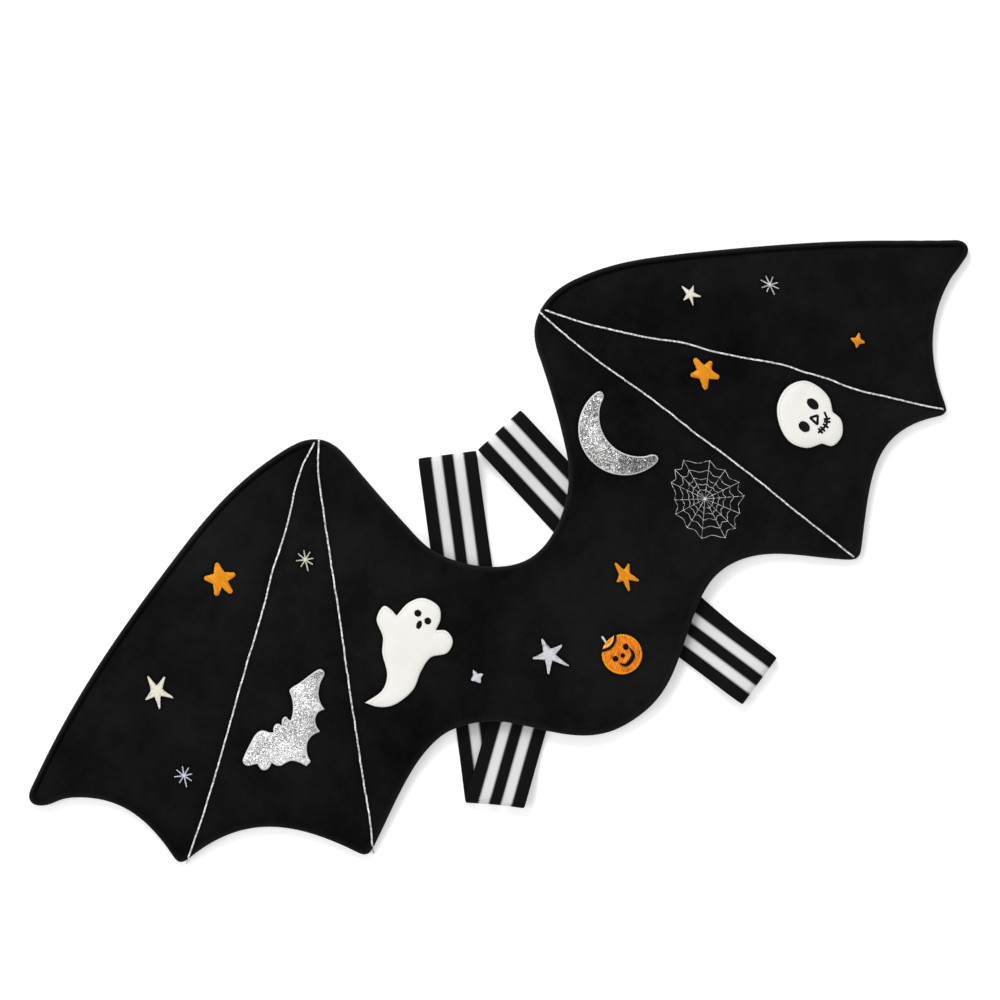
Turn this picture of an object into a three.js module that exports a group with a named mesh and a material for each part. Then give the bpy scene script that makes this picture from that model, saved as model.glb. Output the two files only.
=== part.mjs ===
import * as THREE from 'three';

const { sin, cos, exp, hypot, min, max, round, PI } = Math;

// Driving dimensions, in millimetres
const wingSpan = 742; // tip to tip, as the wings lie
const wingHeight = 281; // tail to peaks
const frontPadding = 4.4; // padded front, above the middle seam
const backPadding = 3.8; // padded back, below the middle seam
const frontSwell = 1.8; // rise of the front between its rim and its ribs
const swellReach = 22; // distance over which the front swells
const rimWidth = 9.5; // rolled rim, from the edge to its inner side
const channelDepth = 1.6; // sewn channel that sets off the rim
const tipRound = 11; // length from a point's corner to where its curve starts
const ribWidth = 2.2; // silver braid over the wing's bones
const ribHeight = 1.3;
const ribInset = 2.6; // how far a rib ends from the wing's edge
const valleyDepth = 1.3; // dip in the padding under a rib
const valleyWidth = 6.5; // from a rib to the side of its dip
const strapWidth = 40; // elastic of the arm loops
const strapThickness = 1.4;
const loopHeight = 10; // arm loop's height at its folds
const anchorDepth = 28; // length of strap sewn under the body's edge
const flatReach = 12; // length of strap outside the body that still lies flat
const liftMargin = 16; // how far the body stays level beside a strap
const liftReach = 45; // length over which the body comes down beside a strap
const feltThickness = 1.2;
const glitterThickness = 0.9;
const stitchHeight = 0.9; // satin stitch at its ridge
const faceHeight = 0.5; // embroidered eyes and mouths
const patchBevel = 0.5;
const clearance = 0.3; // gap between pieces that touch
const ghostSize = 80;
const skullSize = 50;
const batSize = 60;
const moonRadius = 31.5; // the moon's outer arc
const moonHollow = 27.5; // the arc that hollows it
const moonTip = 2.6; // round of the moon's horns
const pumpkinRadius = 13.6;
const starRadius = 11.5;
const smallStarRadius = 5;
const asteriskRadius = 6.5;

// Spacing of the points that shape the cloth
const outlineStep = 10.5;
const cornerSteps = 4;
const ribStep = 10;
const frontStep = 21;
const middleStep = 27;
const backStep = 24;
const patchStep = 5;
const patchInnerStep = 10;
const freeSteps = 10;

const halfSpan = wingSpan / 2;
const strapStack = 2 * (strapThickness + clearance);
const foldRadius = (loopHeight - strapThickness) / 2;
const upperLayer = 1.5 * strapThickness + clearance;
const neckShift = 0.008; // the neck's and the tail's middles, beside the spine
const tailShift = 0.011;
const neckDrop = 0.466;

// Outline of each wing from the neck round to the tail, with x measured outwards. x is a share of half the
// span and y of the wing's height. leave and arrive are headings in degrees, reach is a curve's handle as a
// share of its chord, round is the corner at the row's end as a share of tipRound, and channel is the depth
// of the sewn channel as a share of channelDepth.
const rightOutline = [
  { edge: 'neck', x: 0.164, y: 0.639, leave: 0, arrive: 73, reach: 0.32, round: 0, channel: 0.35 },
  { edge: 'neck_side', x: 0.213, y: 0.902, leave: 72, arrive: 79, reach: 0.36, round: 0, channel: 0.35 },
  { edge: 'peak', x: 0.323, y: 1, leave: 78, arrive: -2, reach: 0.37, round: 0, channel: 0.5 },
  { edge: 'shoulder', x: 0.539, y: 0.92, leave: -2, arrive: -23, reach: 0.36, round: 0, channel: 1 },
  { edge: 'leading_edge', x: 1.008, y: 0.5925, leave: -24, arrive: -34, reach: 0.36, round: 1, channel: 1 },
  { edge: 'outer_scallop', x: 0.811, y: 0.265, leave: 200, arrive: 263, reach: 0.42, round: 0.6, channel: 0.4 },
  { edge: 'middle_scallop', x: 0.536, y: 0.066, leave: 159, arrive: 232, reach: 0.49, round: 0.55, channel: 0.4 },
  { edge: 'inner_scallop', x: 0.318, y: 0.2117, leave: 152, arrive: 181, reach: 0.36, round: 0, channel: 0.4 },
  { edge: 'waist', x: 0.194, y: 0.119, leave: 181, arrive: 221, reach: 0.34, round: 0, channel: 0.4 },
  { edge: 'tail', x: tailShift, y: 0, leave: 222, arrive: 180, reach: 0.41, round: 0, channel: 0.4 },
];
const leftOutline = [
  { edge: 'neck', x: 0.148, y: 0.639, leave: 0, arrive: 78, reach: 0.3, round: 0, channel: 0.35 },
  { edge: 'neck_side', x: 0.188, y: 0.895, leave: 77, arrive: 80, reach: 0.36, round: 0, channel: 0.35 },
  { edge: 'peak', x: 0.27, y: 0.989, leave: 81, arrive: 0, reach: 0.45, round: 0, channel: 0.5 },
  { edge: 'shoulder', x: 0.539, y: 0.902, leave: -1, arrive: -23, reach: 0.36, round: 0, channel: 1 },
  { edge: 'leading_edge', x: 1.0215, y: 0.5535, leave: -23, arrive: -37, reach: 0.36, round: 1, channel: 1 },
  { edge: 'outer_scallop', x: 0.828, y: 0.238, leave: 196, arrive: 268, reach: 0.47, round: 0.6, channel: 0.4 },
  { edge: 'middle_scallop', x: 0.52, y: 0.03, leave: 168, arrive: 237, reach: 0.44, round: 0.55, channel: 0.4 },
  { edge: 'inner_scallop', x: 0.283, y: 0.199, leave: 150, arrive: 176, reach: 0.3, round: 0, channel: 0.4 },
  { edge: 'waist', x: 0.162, y: 0.135, leave: 180, arrive: 222, reach: 0.34, round: 0, channel: 0.4 },
  { edge: 'tail', x: -tailShift, y: 0, leave: 222, arrive: 180, reach: 0.36, round: 0, channel: 0.4 },
];

// Rolled rim, from its edge inwards: inset is a share of rimWidth and height of the padding
const frontRim = [
  { inset: 0, height: 0.12, channel: 0 },
  { inset: 0.13, height: 0.62, channel: 0 },
  { inset: 0.36, height: 0.97, channel: 0 },
  { inset: 0.68, height: 1, channel: 1 },
  { inset: 1, height: 1, channel: 0 },
];
const backRim = [
  { inset: 0, height: 0.12, channel: 0 },
  { inset: 0.16, height: 0.68, channel: 0 },
  { inset: 0.5, height: 1, channel: 0 },
];

// Ribs from each peak to the points between the scallops: from is a share of the peak's curve, and bow and
// sway are a rib's bend and its double bend as shares of its length
const ribs = [
  { name: 'rib_left_outer', side: -1, from: 0.56, to: 'outer_scallop', bow: 0.003, sway: 0.006 },
  { name: 'rib_left_inner', side: -1, from: 0.49, to: 'middle_scallop', bow: 0.009, sway: 0.006 },
  { name: 'rib_right_outer', side: 1, from: 0.52, to: 'outer_scallop', bow: 0.001, sway: -0.013 },
  { name: 'rib_right_inner', side: 1, from: 0.43, to: 'middle_scallop', bow: -0.002, sway: 0 },
];

// Arm loops: both ends sewn under the body and both folds, with x and y as shares like the outline's. The
// turns are the degrees by which a loop's lower layer leaves its upper one at a fold.
const straps = [
  {
    name: 'strap_left', neckTurn: 0, waistTurn: 23,
    neckEnd: { x: -0.128, y: 0.453 },
    neckFold: { x: -0.027, y: 0.781 },
    waistFold: { x: -0.268, y: -0.009 },
    waistEnd: { x: -0.105, y: 0.2 },
  },
  {
    name: 'strap_right', neckTurn: 0, waistTurn: 1,
    neckEnd: { x: 0.1385, y: 0.4395 },
    neckFold: { x: 0.079, y: 0.7705 },
    waistFold: { x: 0.265, y: -0.067 },
    waistEnd: { x: 0.1725, y: 0.215 },
  },
];

// Stars: x and y as above, and each ray's heading in degrees and length as a share of the radius. waist is
// the radius between two rays and tip the width of a ray's end, as shares of the mean ray.
const starForms = {
  chunky: { waist: 0.56, tip: 0.4 },
  slender: { waist: 0.46, tip: 0.2 },
  asterisk: { waist: 0.3, tip: 0.2 },
};
const stars = [
  {
    name: 'star_orange_left', form: 'chunky', thread: 'orange_thread', radius: starRadius, x: -0.501, y: 0.794,
    rays: [[71, 0.98], [146, 0.92], [228, 1.02], [281, 1.1], [349, 0.97]],
  },
  {
    name: 'star_cream_left', form: 'slender', thread: 'cream_thread', radius: starRadius, x: -0.703, y: 0.634,
    rays: [[31, 1.01], [91, 1.04], [188, 0.83], [250, 1.07], [309, 1.07]],
  },
  {
    name: 'star_silver', form: 'slender', thread: 'silver_thread', radius: starRadius, x: -0.046, y: 0.242,
    rays: [[6, 0.99], [85, 1.03], [164, 0.98], [239, 1.19], [300, 1.35]],
  },
  {
    name: 'star_orange_tail', form: 'slender', thread: 'orange_thread', radius: starRadius, x: 0.146, y: 0.317,
    rays: [[41, 0.73], [98, 0.94], [190, 0.61], [256, 0.97], [310, 0.9]],
  },
  {
    name: 'star_orange_right', form: 'chunky', thread: 'orange_thread', radius: starRadius, x: 0.457, y: 0.647,
    rays: [[28, 0.81], [95, 1.03], [162, 0.82], [244, 1.03], [311, 0.94]],
  },
  {
    name: 'star_cream_right', form: 'slender', thread: 'cream_thread', radius: starRadius, x: 0.506, y: 0.829,
    rays: [[38, 0.54], [108, 0.72], [193, 0.58], [254, 0.71], [316, 0.7]],
  },
  {
    name: 'star_silver_small', form: 'chunky', thread: 'silver_thread', radius: smallStarRadius, x: -0.181, y: 0.28,
    rays: [[0, 1], [88, 1.12], [176, 0.92], [272, 0.96]],
  },
  {
    name: 'star_orange_small', form: 'chunky', thread: 'orange_thread', radius: smallStarRadius, x: 0.729, y: 0.53,
    rays: [[49, 1.12], [131, 1], [236, 0.92], [318, 1.06]],
  },
  {
    name: 'asterisk_cream', form: 'asterisk', thread: 'cream_thread', radius: asteriskRadius, x: -0.347, y: 0.732,
    rays: [[30, 0.95], [72, 1.03], [112, 1.02], [159, 1.02], [208, 0.92], [252, 1.25], [296, 0.92], [342, 0.83]],
  },
  {
    name: 'asterisk_blue', form: 'asterisk', thread: 'blue_thread', radius: asteriskRadius, x: -0.736, y: 0.425,
    rays: [[28, 0.94], [71, 0.97], [114, 0.94], [162, 1.05], [210, 0.94], [253, 1.29], [293, 1.02], [338, 0.86]],
  },
  {
    name: 'asterisk_silver', form: 'asterisk', thread: 'silver_thread', radius: asteriskRadius, x: 0.64, y: 0.753,
    rays: [[37, 0.94], [80, 1.03], [121, 1.06], [170, 0.86], [220, 0.77], [268, 1.14], [309, 1.06], [347, 0.91]],
  },
];

// Patches: x and y as shares of the figure's size from its middle, and corner where the outline turns
const ghostOutline = [
  { at: 'crown', x: 0.34, y: 0.34 },
  { at: 'brow', x: 0.42, y: 0.21 },
  { at: 'cheek', x: 0.38, y: 0.11 },
  { at: 'neck_right', x: 0.3, y: 0.05, corner: true },
  { at: 'hand_right', x: 0.375, y: 0 },
  { at: 'fingers_right', x: 0.38, y: -0.1 },
  { at: 'wrist_right', x: 0.29, y: -0.165 },
  { at: 'hip', x: 0.15, y: -0.13 },
  { at: 'waist_right', x: 0.02, y: -0.19 },
  { at: 'tail_back', x: -0.12, y: -0.295 },
  { at: 'tail_under', x: -0.33, y: -0.325 },
  { at: 'tail_turn', x: -0.45, y: -0.275 },
  { at: 'tail_tip', x: -0.53, y: -0.19, corner: true },
  { at: 'tail_inside', x: -0.35, y: -0.17 },
  { at: 'waist_left', x: -0.25, y: -0.08 },
  { at: 'chest', x: -0.19, y: 0.11 },
  { at: 'elbow_left', x: -0.12, y: 0.22 },
  { at: 'hand_left', x: -0.09, y: 0.38 },
  { at: 'fingers_left', x: 0.02, y: 0.445 },
  { at: 'wrist_left', x: 0.06, y: 0.38 },
  { at: 'neck_left', x: 0.07, y: 0.32, corner: true },
  { at: 'temple', x: 0.21, y: 0.365 },
];
const skullOutline = [
  { at: 'crown_right', x: 0.18, y: 0.44 },
  { at: 'temple_right', x: 0.31, y: 0.27 },
  { at: 'cheekbone_right', x: 0.355, y: 0.07 },
  { at: 'jaw_joint_right', x: 0.3, y: -0.12, corner: true },
  { at: 'jaw_right', x: 0.345, y: -0.27 },
  { at: 'chin', x: 0.25, y: -0.46 },
  { at: 'jaw_left', x: 0.07, y: -0.52 },
  { at: 'jaw_joint_left', x: -0.04, y: -0.42, corner: true },
  { at: 'cheekbone_left', x: -0.25, y: -0.37 },
  { at: 'temple_left', x: -0.41, y: -0.18 },
  { at: 'crown_left', x: -0.41, y: 0.11 },
  { at: 'crown_back', x: -0.29, y: 0.35 },
  { at: 'crown', x: -0.06, y: 0.48 },
];
const batOutline = [
  { at: 'right_wing_tip', x: 0.64, y: 0.335 },
  { at: 'right_wing_end', x: 0.62, y: 0.26 },
  { at: 'right_outer_scallop', x: 0.46, y: 0.12 },
  { at: 'right_outer_point', x: 0.435, y: -0.07, corner: true },
  { at: 'right_inner_scallop', x: 0.27, y: -0.13 },
  { at: 'right_inner_point', x: 0.265, y: -0.275, corner: true },
  { at: 'hip_right', x: 0.06, y: -0.34 },
  { at: 'foot_right', x: 0.01, y: -0.505, corner: true },
  { at: 'foot_left', x: -0.07, y: -0.53, corner: true },
  { at: 'hip_left', x: -0.17, y: -0.405 },
  { at: 'left_inner_point', x: -0.31, y: -0.395 },
  { at: 'left_inner_scallop', x: -0.37, y: -0.31, corner: true },
  { at: 'left_middle_point', x: -0.49, y: -0.34 },
  { at: 'left_outer_scallop', x: -0.535, y: -0.235, corner: true },
  { at: 'left_wing_end', x: -0.63, y: -0.2 },
  { at: 'left_wing_tip', x: -0.645, y: -0.09 },
  { at: 'left_wing_crest', x: -0.4, y: 0.07 },
  { at: 'left_shoulder', x: -0.205, y: -0.01, corner: true },
  { at: 'left_ear', x: -0.145, y: 0.065 },
  { at: 'between_ears', x: -0.075, y: 0.02, corner: true },
  { at: 'right_ear', x: -0.01, y: 0.085 },
  { at: 'right_shoulder', x: 0.035, y: 0.025, corner: true },
  { at: 'right_wing_front', x: 0.13, y: 0.15 },
  { at: 'right_wing_crest', x: 0.2, y: 0.3, corner: true },
];

// Where the patches lie, as shares like the outline's
const ghostPlace = { x: -0.268, y: 0.414 };
const skullPlace = { x: 0.585, y: 0.432 };
const batPlace = { x: -0.523, y: 0.411 };
const moonPlace = { x: 0.279, y: 0.624 };
const pumpkinPlace = { x: 0.0704, y: 0.155 };
const moonHollowShift = 13.4; // from the outer arc's centre to the hollow's
const moonTurn = 11; // heading of that shift, in degrees
const moonHorn = 89; // headings of the horns' ends, to each side of that one

// Embroidered features: x and y as shares of the figure's size, rx and ry its half widths and turn its
// heading in degrees
const features = [
  { name: 'ghost_eye_left', figure: 'ghost', x: 0.24, y: 0.25, rx: 0.034, ry: 0.034, turn: 0 },
  { name: 'ghost_eye_right', figure: 'ghost', x: 0.28, y: 0.152, rx: 0.034, ry: 0.034, turn: 0 },
  { name: 'ghost_mouth', figure: 'ghost', x: 0.2, y: 0.16, rx: 0.04, ry: 0.025, turn: 40 },
  { name: 'skull_eye_left', figure: 'skull', x: 0.115, y: 0.11, rx: 0.1, ry: 0.07, turn: -72 },
  { name: 'skull_eye_right', figure: 'skull', x: -0.14, y: -0.1, rx: 0.092, ry: 0.074, turn: -72 },
  { name: 'skull_nose', figure: 'skull', x: 0.03, y: -0.085, rx: 0.062, ry: 0.05, turn: 40 },
  { name: 'pumpkin_eye_left', figure: 'pumpkin', x: 0.35, y: 0.24, rx: 0.12, ry: 0.14, turn: -30 },
  { name: 'pumpkin_eye_right', figure: 'pumpkin', x: -0.4, y: -0.02, rx: 0.13, ry: 0.12, turn: -30 },
  { name: 'pumpkin_nose', figure: 'pumpkin', x: 0, y: -0.06, rx: 0.11, ry: 0.11, turn: 0 },
];
const featureSides = 10;
const stem = { x: -0.42, y: 1.1, rx: 0.19, ry: 0.1, turn: 75 }; // the pumpkin's stem, just off its top

const materials = {
  velour: { color: 0x151516, roughness: 0.95, metalness: 0 },
  silver_braid: { color: 0xd9d9dc, roughness: 0.4, metalness: 0.5 },
  elastic: { color: 0x1a1a1c, roughness: 0.85, metalness: 0 },
  felt: { color: 0xf0eee8, roughness: 0.9, metalness: 0 },
  glitter: { color: 0xc8c8ca, roughness: 0.35, metalness: 0.7 },
  orange_thread: { color: 0xf08a24, roughness: 0.5, metalness: 0 },
  cream_thread: { color: 0xeae6d8, roughness: 0.5, metalness: 0 },
  silver_thread: { color: 0xc9cad2, roughness: 0.45, metalness: 0.2 },
  blue_thread: { color: 0xc3cbdc, roughness: 0.5, metalness: 0 },
  black_thread: { color: 0x222222, roughness: 0.6, metalness: 0 },
};

const radians = (degrees) => (degrees * PI) / 180;
const heading = (degrees) => new THREE.Vector2(cos(radians(degrees)), sin(radians(degrees)));
const place = ({ x, y }) => new THREE.Vector2(x * halfSpan, y * wingHeight);
const smooth = (share) => {
  const t = min(max(share, 0), 1);
  return t * t * (3 - 2 * t);
};

function distanceToSegment(point, a, b) {
  const along = b.clone().sub(a);
  const share = min(max(point.clone().sub(a).dot(along) / along.lengthSq(), 0), 1);
  return hypot(point.x - a.x - along.x * share, point.y - a.y - along.y * share);
}

function distanceToPath(point, path, closed) {
  let nearest = Infinity;
  const last = closed ? path.length : path.length - 1;
  for (let i = 0; i < last; i += 1) {
    nearest = min(nearest, distanceToSegment(point, path[i], path[(i + 1) % path.length]));
  }
  return nearest;
}

function isInside(point, polygon) {
  let inside = false;
  polygon.forEach((a, i) => {
    const b = polygon[(i + 1) % polygon.length];
    if (a.y > point.y !== b.y > point.y) {
      const crossing = a.x + ((point.y - a.y) / (b.y - a.y)) * (b.x - a.x);
      if (point.x < crossing) inside = !inside;
    }
  });
  return inside;
}

// A closed body built up from vertices and triangles
class Shell {
  constructor() {
    this.positions = [];
    this.indices = [];
  }

  vertex(x, y, z) {
    this.positions.push(x, y, z);
    return this.positions.length / 3 - 1;
  }

  triangle(a, b, c, upward = true) {
    this.indices.push(a, upward ? b : c, upward ? c : b);
  }

  // Joins two rings of vertices with the same count
  join(lower, upper) {
    lower.forEach((a, i) => {
      const next = (i + 1) % lower.length;
      this.triangle(a, lower[next], upper[i]);
      this.triangle(lower[next], upper[next], upper[i]);
    });
  }

  // Joins sections one after another, each counter-clockwise seen against the way they run, and caps both ends
  sweep(rings) {
    rings.slice(1).forEach((ring, i) => this.join(ring, rings[i]));
    const last = rings.at(-1);
    rings[0].slice(2).forEach((_, k) => {
      this.triangle(rings[0][0], rings[0][k + 1], rings[0][k + 2]);
      this.triangle(last[0], last[k + 2], last[k + 1]);
    });
  }

  mesh(name, material) {
    const geometry = new THREE.BufferGeometry();
    geometry.setAttribute('position', new THREE.Float32BufferAttribute(this.positions, 3));
    geometry.setIndex(this.indices);
    geometry.computeVertexNormals();
    const mesh = new THREE.Mesh(geometry, new THREE.MeshStandardMaterial(materials[material]));
    mesh.name = name;
    return mesh;
  }
}

// Triangles over scattered points, each with no other point in its circle
function triangulate(points) {
  const nudge = 0.001;
  const nudged = points.map((p, i) => new THREE.Vector2(p.x + nudge * sin(i * 12.9), p.y + nudge * sin(i * 78.2)));
  const reach = 20 * wingSpan;
  nudged.push(new THREE.Vector2(-reach, -reach), new THREE.Vector2(reach, -reach), new THREE.Vector2(0, reach));
  const circled = (corners) => {
    const [a, b, c] = corners.map((corner) => nudged[corner]);
    const double = 2 * (a.x * (b.y - c.y) + b.x * (c.y - a.y) + c.x * (a.y - b.y));
    const [aa, bb, cc] = [a.lengthSq(), b.lengthSq(), c.lengthSq()];
    const x = (aa * (b.y - c.y) + bb * (c.y - a.y) + cc * (a.y - b.y)) / double;
    const y = (aa * (c.x - b.x) + bb * (a.x - c.x) + cc * (b.x - a.x)) / double;
    return { corners, x, y, square: (a.x - x) ** 2 + (a.y - y) ** 2 };
  };
  const outer = points.length;
  let triangles = [circled([outer, outer + 1, outer + 2])];
  for (let i = 0; i < outer; i += 1) {
    const point = nudged[i];
    const edges = new Map();
    triangles = triangles.filter((triangle) => {
      if ((point.x - triangle.x) ** 2 + (point.y - triangle.y) ** 2 >= triangle.square) return true;
      triangle.corners.forEach((a, k) => {
        const b = triangle.corners[(k + 1) % 3];
        if (!edges.delete(`${b},${a}`)) edges.set(`${a},${b}`, [a, b]);
      });
      return false;
    });
    edges.forEach(([a, b]) => triangles.push(circled([a, b, i])));
  }
  return triangles.map((triangle) => triangle.corners).filter((corners) => max(...corners) < outer);
}

// Triangles that fill a ring, whose points come first in the list
function fill(points, ringLength) {
  const ring = points.slice(0, ringLength);
  return triangulate(points).filter((corners) => {
    const middle = new THREE.Vector2();
    corners.forEach((corner) => middle.addScaledVector(points[corner], 1 / 3));
    return isInside(middle, ring);
  });
}

// Evenly spread points inside a ring that keep off the paths given
function lattice(ring, step, edgeGap, kept, keptGap) {
  const box = new THREE.Box2().setFromPoints(ring);
  const rowStep = step * sin(PI / 3);
  const points = [];
  for (let row = 0; box.min.y + row * rowStep < box.max.y; row += 1) {
    for (let column = 0; box.min.x + column * step < box.max.x; column += 1) {
      const x = box.min.x + (column + (row % 2) / 2) * step;
      const point = new THREE.Vector2(x, box.min.y + (row + 0.5) * rowStep);
      const clear = kept.every((path) => distanceToPath(point, path, false) > keptGap);
      if (clear && isInside(point, ring) && distanceToPath(point, ring, true) > edgeGap) points.push(point);
    }
  }
  return points;
}

// The curves round one wing, and the corner that follows each
function wingCurves(table, side) {
  let from = new THREE.Vector2(side * neckShift * halfSpan, neckDrop * wingHeight);
  return table.map((row) => {
    const to = place(row);
    const handle = from.distanceTo(to) * row.reach;
    const leaving = from.clone().addScaledVector(heading(row.leave), handle);
    const arriving = to.clone().addScaledVector(heading(row.arrive), -handle);
    const points = [from, leaving, arriving, to].map((p) => new THREE.Vector2(side * p.x, p.y));
    from = to;
    return { ...row, curve: new THREE.CubicBezierCurve(...points) };
  });
}

function cornerCurve(curves, index) {
  const { curve, round: share } = curves[index];
  const after = curves[index + 1].curve;
  const start = curve.getPointAt(1 - (share * tipRound) / curve.getLength());
  const end = after.getPointAt((share * tipRound) / after.getLength());
  return new THREE.QuadraticBezierCurve(start, curve.v3, end);
}

function wingStations(curves) {
  const stations = [];
  curves.forEach(({ curve, round: share, channel }, index) => {
    const length = curve.getLength();
    const before = index > 0 ? curves[index - 1].round * tipRound : 0;
    const after = share * tipRound;
    const steps = max(2, round((length - before - after) / outlineStep));
    for (let i = index > 0 && before === 0 ? 1 : 0; i <= steps; i += 1) {
      const along = before + ((length - before - after) * i) / steps;
      stations.push({ point: curve.getPointAt(min(along / length, 1)), channel });
    }
    if (share > 0) {
      const corner = cornerCurve(curves, index);
      for (let i = 1; i < cornerSteps; i += 1) {
        stations.push({ point: corner.getPoint(i / cornerSteps), channel });
      }
    }
  });
  return stations;
}

const wings = { '-1': wingCurves(leftOutline, -1), 1: wingCurves(rightOutline, 1) };

// The whole edge, counter-clockwise seen from the front
const edge = [...wingStations(wings[-1]).slice(0, -1), ...wingStations(wings[1]).reverse().slice(0, -1)];
edge.forEach((station, i) => {
  const before = edge.at(i - 1).point;
  const along = edge[(i + 1) % edge.length].point.clone().sub(before).normalize();
  station.index = i;
  station.inward = new THREE.Vector2(-along.y, along.x);
});
const edgePoints = edge.map((station) => station.point);

const ribPaths = ribs.map(({ side, from, to, bow, sway }) => {
  const curves = wings[side];
  const start = curves.find((row) => row.edge === 'peak').curve.getPoint(from);
  const end = cornerCurve(curves, curves.findIndex((row) => row.edge === to)).getPoint(0.5);
  const along = end.clone().sub(start).normalize();
  const across = new THREE.Vector2(side * -along.y, side * along.x);
  const first = start.clone().addScaledVector(along, ribInset);
  const length = start.distanceTo(end) - 2 * ribInset;
  const steps = round(length / ribStep);
  return Array.from({ length: steps + 1 }, (_, i) => {
    const share = i / steps;
    const bend = length * (bow * sin(PI * share) + sway * sin(2 * PI * share));
    return first.clone().addScaledVector(along, length * share).addScaledVector(across, bend);
  });
});

// Each strap's places, and the line of the free layer that runs between its folds
const strapRoutes = straps.map((row) => {
  const places = ['neckEnd', 'neckFold', 'waistFold', 'waistEnd'].map((key) => place(row[key]));
  const [neckEnd, neckFold, waistFold, waistEnd] = places;
  const away = (end, fold, turn) => {
    const angle = end.clone().sub(fold).angle() + radians(turn);
    return new THREE.Vector2(cos(angle), sin(angle));
  };
  const neckRay = away(neckEnd, neckFold, row.neckTurn);
  const waistRay = away(waistEnd, waistFold, row.waistTurn);
  const handle = neckFold.distanceTo(waistFold) / 3;
  const free = new THREE.CubicBezierCurve(
    neckFold.clone().addScaledVector(neckRay, foldRadius),
    neckFold.clone().addScaledVector(neckRay, foldRadius + handle),
    waistFold.clone().addScaledVector(waistRay, foldRadius + handle),
    waistFold.clone().addScaledVector(waistRay, foldRadius),
  );
  return { ...row, neckEnd, neckFold, waistFold, waistEnd, free };
});

// How far the body is lifted by the straps under it
function lift(point) {
  let height = 0;
  const press = (path, stack) => {
    const beside = distanceToPath(point, path, false) - strapWidth / 2 - liftMargin;
    height = max(height, stack * smooth(1 - beside / liftReach));
  };
  strapRoutes.forEach((route) => {
    press([route.neckEnd, route.neckFold], strapStack);
    press([route.waistEnd, route.waistFold], strapStack);
    press(route.free.getPoints(freeSteps), strapStack / 2);
  });
  return height;
}

const middleSeam = (point) => backPadding + lift(point);

// A padded panel from the middle seam to its rolled rim and its face
function paddedPanel({ rim, step, paths, face, direction }) {
  const upward = direction > 0;
  const shell = new Shell();
  const seamPoints = [...edgePoints, ...lattice(edgePoints, middleStep, 0.6 * middleStep, [], 0)];
  const seamVertices = seamPoints.map((p) => shell.vertex(p.x, p.y, middleSeam(p) + (direction * clearance) / 2));
  fill(seamPoints, edge.length).forEach((corners) => {
    shell.triangle(...corners.map((corner) => seamVertices[corner]), !upward);
  });

  let stations = edge.map((station) => ({ ...station, vertex: seamVertices[station.index] }));
  rim.forEach(({ inset, height, channel }) => {
    const depth = inset * rimWidth;
    const ring = [];
    stations.forEach((station) => {
      const point = edge[station.index].point.clone().addScaledVector(station.inward, depth);
      if (depth > 0 && distanceToPath(point, edgePoints, true) < 0.98 * depth) return;
      const dip = channel * station.channel * channelDepth;
      const vertex = shell.vertex(point.x, point.y, face(point, height, dip));
      ring.push({ ...station, point, vertex });
    });
    ring.forEach((a, i) => {
      const b = ring[(i + 1) % ring.length];
      const first = stations.findIndex((station) => station.index === a.index);
      const span = [stations[first].vertex];
      for (let k = first; stations[k % stations.length].index !== b.index; k += 1) {
        span.push(stations[(k + 1) % stations.length].vertex);
      }
      const half = span.length >> 1;
      span.slice(1).forEach((vertex, k) => {
        shell.triangle(span[k], vertex, k < half ? a.vertex : b.vertex, upward);
        if (k + 1 === half) shell.triangle(vertex, b.vertex, a.vertex, upward);
      });
    });
    stations = ring;
  });

  const ring = stations.map((station) => station.point);
  const rows = [];
  paths.forEach((path) => {
    path.forEach((point, i) => {
      const along = path[min(i + 1, path.length - 1)].clone().sub(path[max(i - 1, 0)]).normalize();
      [0, -valleyWidth, valleyWidth].forEach((aside) => {
        const spot = new THREE.Vector2(point.x - along.y * aside, point.y + along.x * aside);
        const crowded = rows.some((other) => other.distanceTo(spot) < 0.52 * ribStep)
          || (aside !== 0 && paths.some((other) => distanceToPath(spot, other, false) < 0.9 * valleyWidth));
        const offRim = isInside(spot, ring) && distanceToPath(spot, ring, true) > 0.3 * ribStep;
        if (offRim && !crowded) rows.push(spot);
      });
    });
  });
  const points = [...ring, ...rows, ...lattice(ring, step, 0.55 * step, paths, valleyWidth + 0.5 * step)];
  const vertices = points.map((point, i) => {
    return i < ring.length ? stations[i].vertex : shell.vertex(point.x, point.y, face(point, 1, 0));
  });
  const top = fill(points, ring.length).map((corners) => corners.map((corner) => vertices[corner]));
  top.forEach((corners) => shell.triangle(...corners, upward));
  return shell;
}

const offRibs = (point) => min(...ribPaths.map((path) => distanceToPath(point, path, false)));

const frontShell = paddedPanel({
  rim: frontRim,
  step: frontStep,
  paths: ribPaths,
  direction: 1,
  face: (point, height, dip) => {
    const beside = offRibs(point);
    const valley = valleyDepth * exp(-((beside / valleyWidth) ** 2)) * height;
    const inward = min(distanceToPath(point, edgePoints, true) - rimWidth, beside);
    const swell = inward > 0 ? frontSwell * (1 - exp(-inward / swellReach)) : 0;
    return middleSeam(point) + frontPadding * height - dip - valley + swell;
  },
});

const backShell = paddedPanel({
  rim: backRim,
  step: backStep,
  paths: [],
  direction: -1,
  face: (point, height) => middleSeam(point) - backPadding * height,
});

// Height of the front panel's face, read from its own facets
const facets = [];
for (let i = 0; i < frontShell.indices.length; i += 3) {
  const corners = frontShell.indices.slice(i, i + 3).map((index) => {
    return new THREE.Vector3().fromArray(frontShell.positions, 3 * index);
  });
  const [a, b, c] = corners;
  const area = (b.x - a.x) * (c.y - a.y) - (c.x - a.x) * (b.y - a.y);
  if (area > 0) facets.push({ a, b, c, area });
}

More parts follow.
